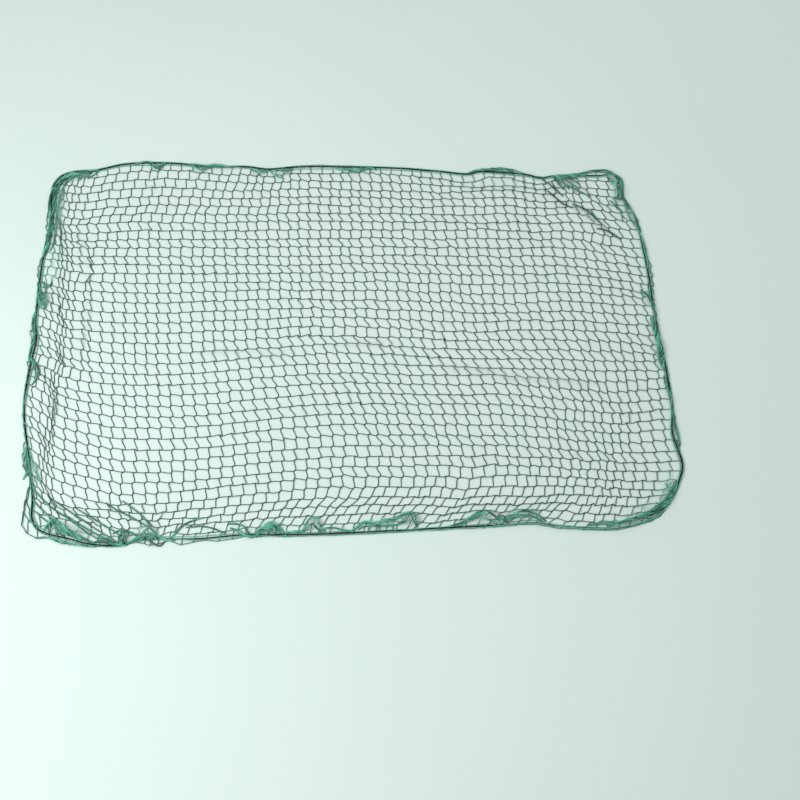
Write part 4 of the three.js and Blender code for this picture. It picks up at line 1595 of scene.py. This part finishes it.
@dataclass(frozen=True)
class YarnFinish:
    """Knotless green yarn, darkened with painted shade where it lies alone and painted lighter and greener
    where it is heaped, for light through its layers.
    """

    # The lone yarn's green, darkened with painted shade as thin yarn looks against the light; the two
    # colours differ at random in tone.
    alone: tuple = colour(0, 44, 34)
    alone_light: tuple = colour(8, 96, 76)
    # The same yarn painted lighter and greener for light that passes through heaped layers, then painted
    # highlights in the heaps.
    heaped: tuple = colour(2, 72, 54)
    heaped_light: tuple = colour(104, 196, 164)
    plies: int = 3
    lay_length: float = 0.012

    def material(self) -> bpy.types.Material:
        """Colours the yarn by its attributes and noise, with painted light and painted highlights where it
        is gathered, and gives it a helix of plies as bump.

        Returns:
            The material.
        """
        shader = Shader("green_yarn_knotless")
        dense = shader.node("ShaderNodeAttribute", {"attribute_name": "gathered"}, output="Fac")
        tone = shader.node("ShaderNodeAttribute", {"attribute_name": "tone"}, output="Fac")
        patch, fleck = shader.noise(7.0), shader.noise(160.0, 1.0)
        share = (0.55 * tone + 0.5 * patch + 0.25 * fleck - 0.15).clamped()
        lone = shader.mix(share, self.alone, self.alone_light)
        # Painted highlights in the heaps, where the tone and a noise are high.
        painted_highlight_share = (1.15 * tone + 0.9 * shader.noise(45.0, 1.0) - 0.5).clamped()
        heap = shader.mix(painted_highlight_share, self.heaped, self.heaped_light)
        # The gathered density mixes from the lone yarn's painted shade to the heap's painted light.
        base = shader.mix(dense.clamped(), lone, heap)
        turns, metres = shader.uv()
        ply = (turns * (2 * math.pi * self.plies) + metres * (2 * math.pi / self.lay_length)).sine()
        shader.set(Base_Color=base, Roughness=0.55 + 0.2 * fleck, Normal=shader.bump(ply, 0.0002))
        shader.set(Sheen_Weight=0.15, Sheen_Roughness=0.5)
        return shader.material


@dataclass(frozen=True)
class CordFinish:
    """Black braided cover of an elastic cord, with small diamonds and dusty high spots."""

    black: tuple = colour(8, 10, 10)
    worn: tuple = colour(26, 32, 30)
    carriers: int = 8
    pick: float = 0.006

    def material(self) -> bpy.types.Material:
        """Makes the braid's bump and its lighter crowns of two families of crossing helices.

        Returns:
            The material.
        """
        shader = Shader("black_braided_cover")
        turns, metres = shader.uv()
        round_wave, long_wave = 2 * math.pi * self.carriers / 2, 2 * math.pi / self.pick
        left = (turns * round_wave + metres * long_wave).sine()
        right = (turns * round_wave - metres * long_wave).sine()
        braid = left * right
        crown = (0.5 + 0.5 * braid).clamped()
        dust = shader.noise(40.0)
        base = shader.mix((crown * dust).clamped(), self.black, self.worn)
        shader.set(Base_Color=base, Roughness=0.7 + 0.25 * dust, Normal=shader.bump(braid, 0.0003))
        shader.set(Specular_IOR_Level=0.15)
        return shader.material


@dataclass(frozen=True)
class GroundFinish:
    """The plain pale ground."""

    pale: tuple = colour(208, 223, 217)
    # Painted shade, laid in broad random patches by noise.
    shaded: tuple = colour(202, 218, 211)

    def material(self) -> bpy.types.Material:
        """Makes a matt surface, faintly darker in broad random patches of painted shade.

        Returns:
            The material.
        """
        shader = Shader("plain_pale_ground")
        shader.set(Base_Color=shader.mix(shader.noise(0.6), self.pale, self.shaded), Roughness=0.9)
        return shader.material


@dataclass
class Studio:
    """The camera at the photograph's angle, the soft lights and the plain ground."""

    shift: np.ndarray
    view: PictureView
    ground_half: float = 14.0
    sky: tuple[float, float, float, float] = (0.96, 1.0, 0.985, 1.0)
    sky_strength: float = 0.58

    def camera(self) -> None:
        """The camera that sees what the photograph sees."""
        data = bpy.data.cameras.new("camera")
        data.lens, data.sensor_width = self.view.lens, self.view.film
        camera = bpy.data.objects.new("camera", data)
        camera.location = self.view.eye() + np.append(self.shift, 0)
        camera.rotation_euler = (0.5 * math.pi - self.view.pitch, 0, 0)
        bpy.context.scene.collection.objects.link(camera)
        bpy.context.scene.camera = camera

    def ground(self) -> None:
        """One large level square."""
        half = self.ground_half
        mesh = bpy.data.meshes.new("ground")
        corners = [(-half, -half, 0), (half, -half, 0), (half, half, 0), (-half, half, 0)]
        mesh.from_pydata(corners, [], [(0, 1, 2, 3)])
        ground = bpy.data.objects.new("ground", mesh)
        mesh.materials.append(GroundFinish().material())
        bpy.context.scene.collection.objects.link(ground)

    def light(self, name: str, place: tuple[float, float, float], size: float, power: float) -> None:
        """A square area light that shines at the net's middle.

        Args:
            name: The light's name.
            place: Where it hangs, metres.
            size: Its side, metres.
            power: Its power, watts.
        """
        data = bpy.data.lights.new(name, "AREA")
        data.shape, data.size, data.energy = "SQUARE", size, power
        lamp = bpy.data.objects.new(name, data)
        lamp.location = place
        down = -np.array(place)
        lamp.rotation_euler = (math.atan2(math.hypot(down[0], down[1]), -down[2]), 0,
                               math.atan2(down[1], down[0]) - 0.5 * math.pi)
        bpy.context.scene.collection.objects.link(lamp)

    def build(self) -> None:
        """Sets the camera, the ground, the lights and an even pale sky."""
        self.camera()
        self.ground()
        self.light("key_light", place=(-3.4, -1.8, 4.2), size=3.6, power=240)
        self.light("fill_light", place=(2.5, 3.0, 5.0), size=4.0, power=60)
        world = bpy.data.worlds.new("soft_sky")
        world.use_nodes = True
        sky = world.node_tree.nodes["Background"]
        sky.inputs["Color"].default_value = self.sky
        sky.inputs["Strength"].default_value = self.sky_strength
        bpy.context.scene.world = world
        bpy.context.scene.view_settings.view_transform = "Standard"


def cord_box_centre(rim: RimLine) -> np.ndarray:
    """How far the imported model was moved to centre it: its cord's box against the route's.

    Args:
        rim: The cord's line, as routed.

    Returns:
        The move in x and y, metres.
    """
    low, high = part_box(Solid.CORD.value)
    packed = 0.5 * np.array([low.x + high.x, low.y + high.y])
    return packed - 0.5 * (rim.points.min(0) + rim.points.max(0))


def main() -> None:
    """Builds the net and the studio, and logs the pieces' triangle counts and the move."""
    logging.basicConfig(level=logging.INFO, format="%(message)s")
    rng = np.random.default_rng(SEED)
    rim = RimLine.through(np.array(CORD_ROUTE) * MM, 4000)
    shift = cord_box_centre(rim)
    relief = Relief(rim)
    view = PictureView()
    Studio(shift, view).build()
    BorderCord(rim, shift).build()
    Netting(rim, relief, view, shift, rng).build()
    log.info("moved by %.4f, %.4f m", *shift)


if __name__ == "__main__":
    main()
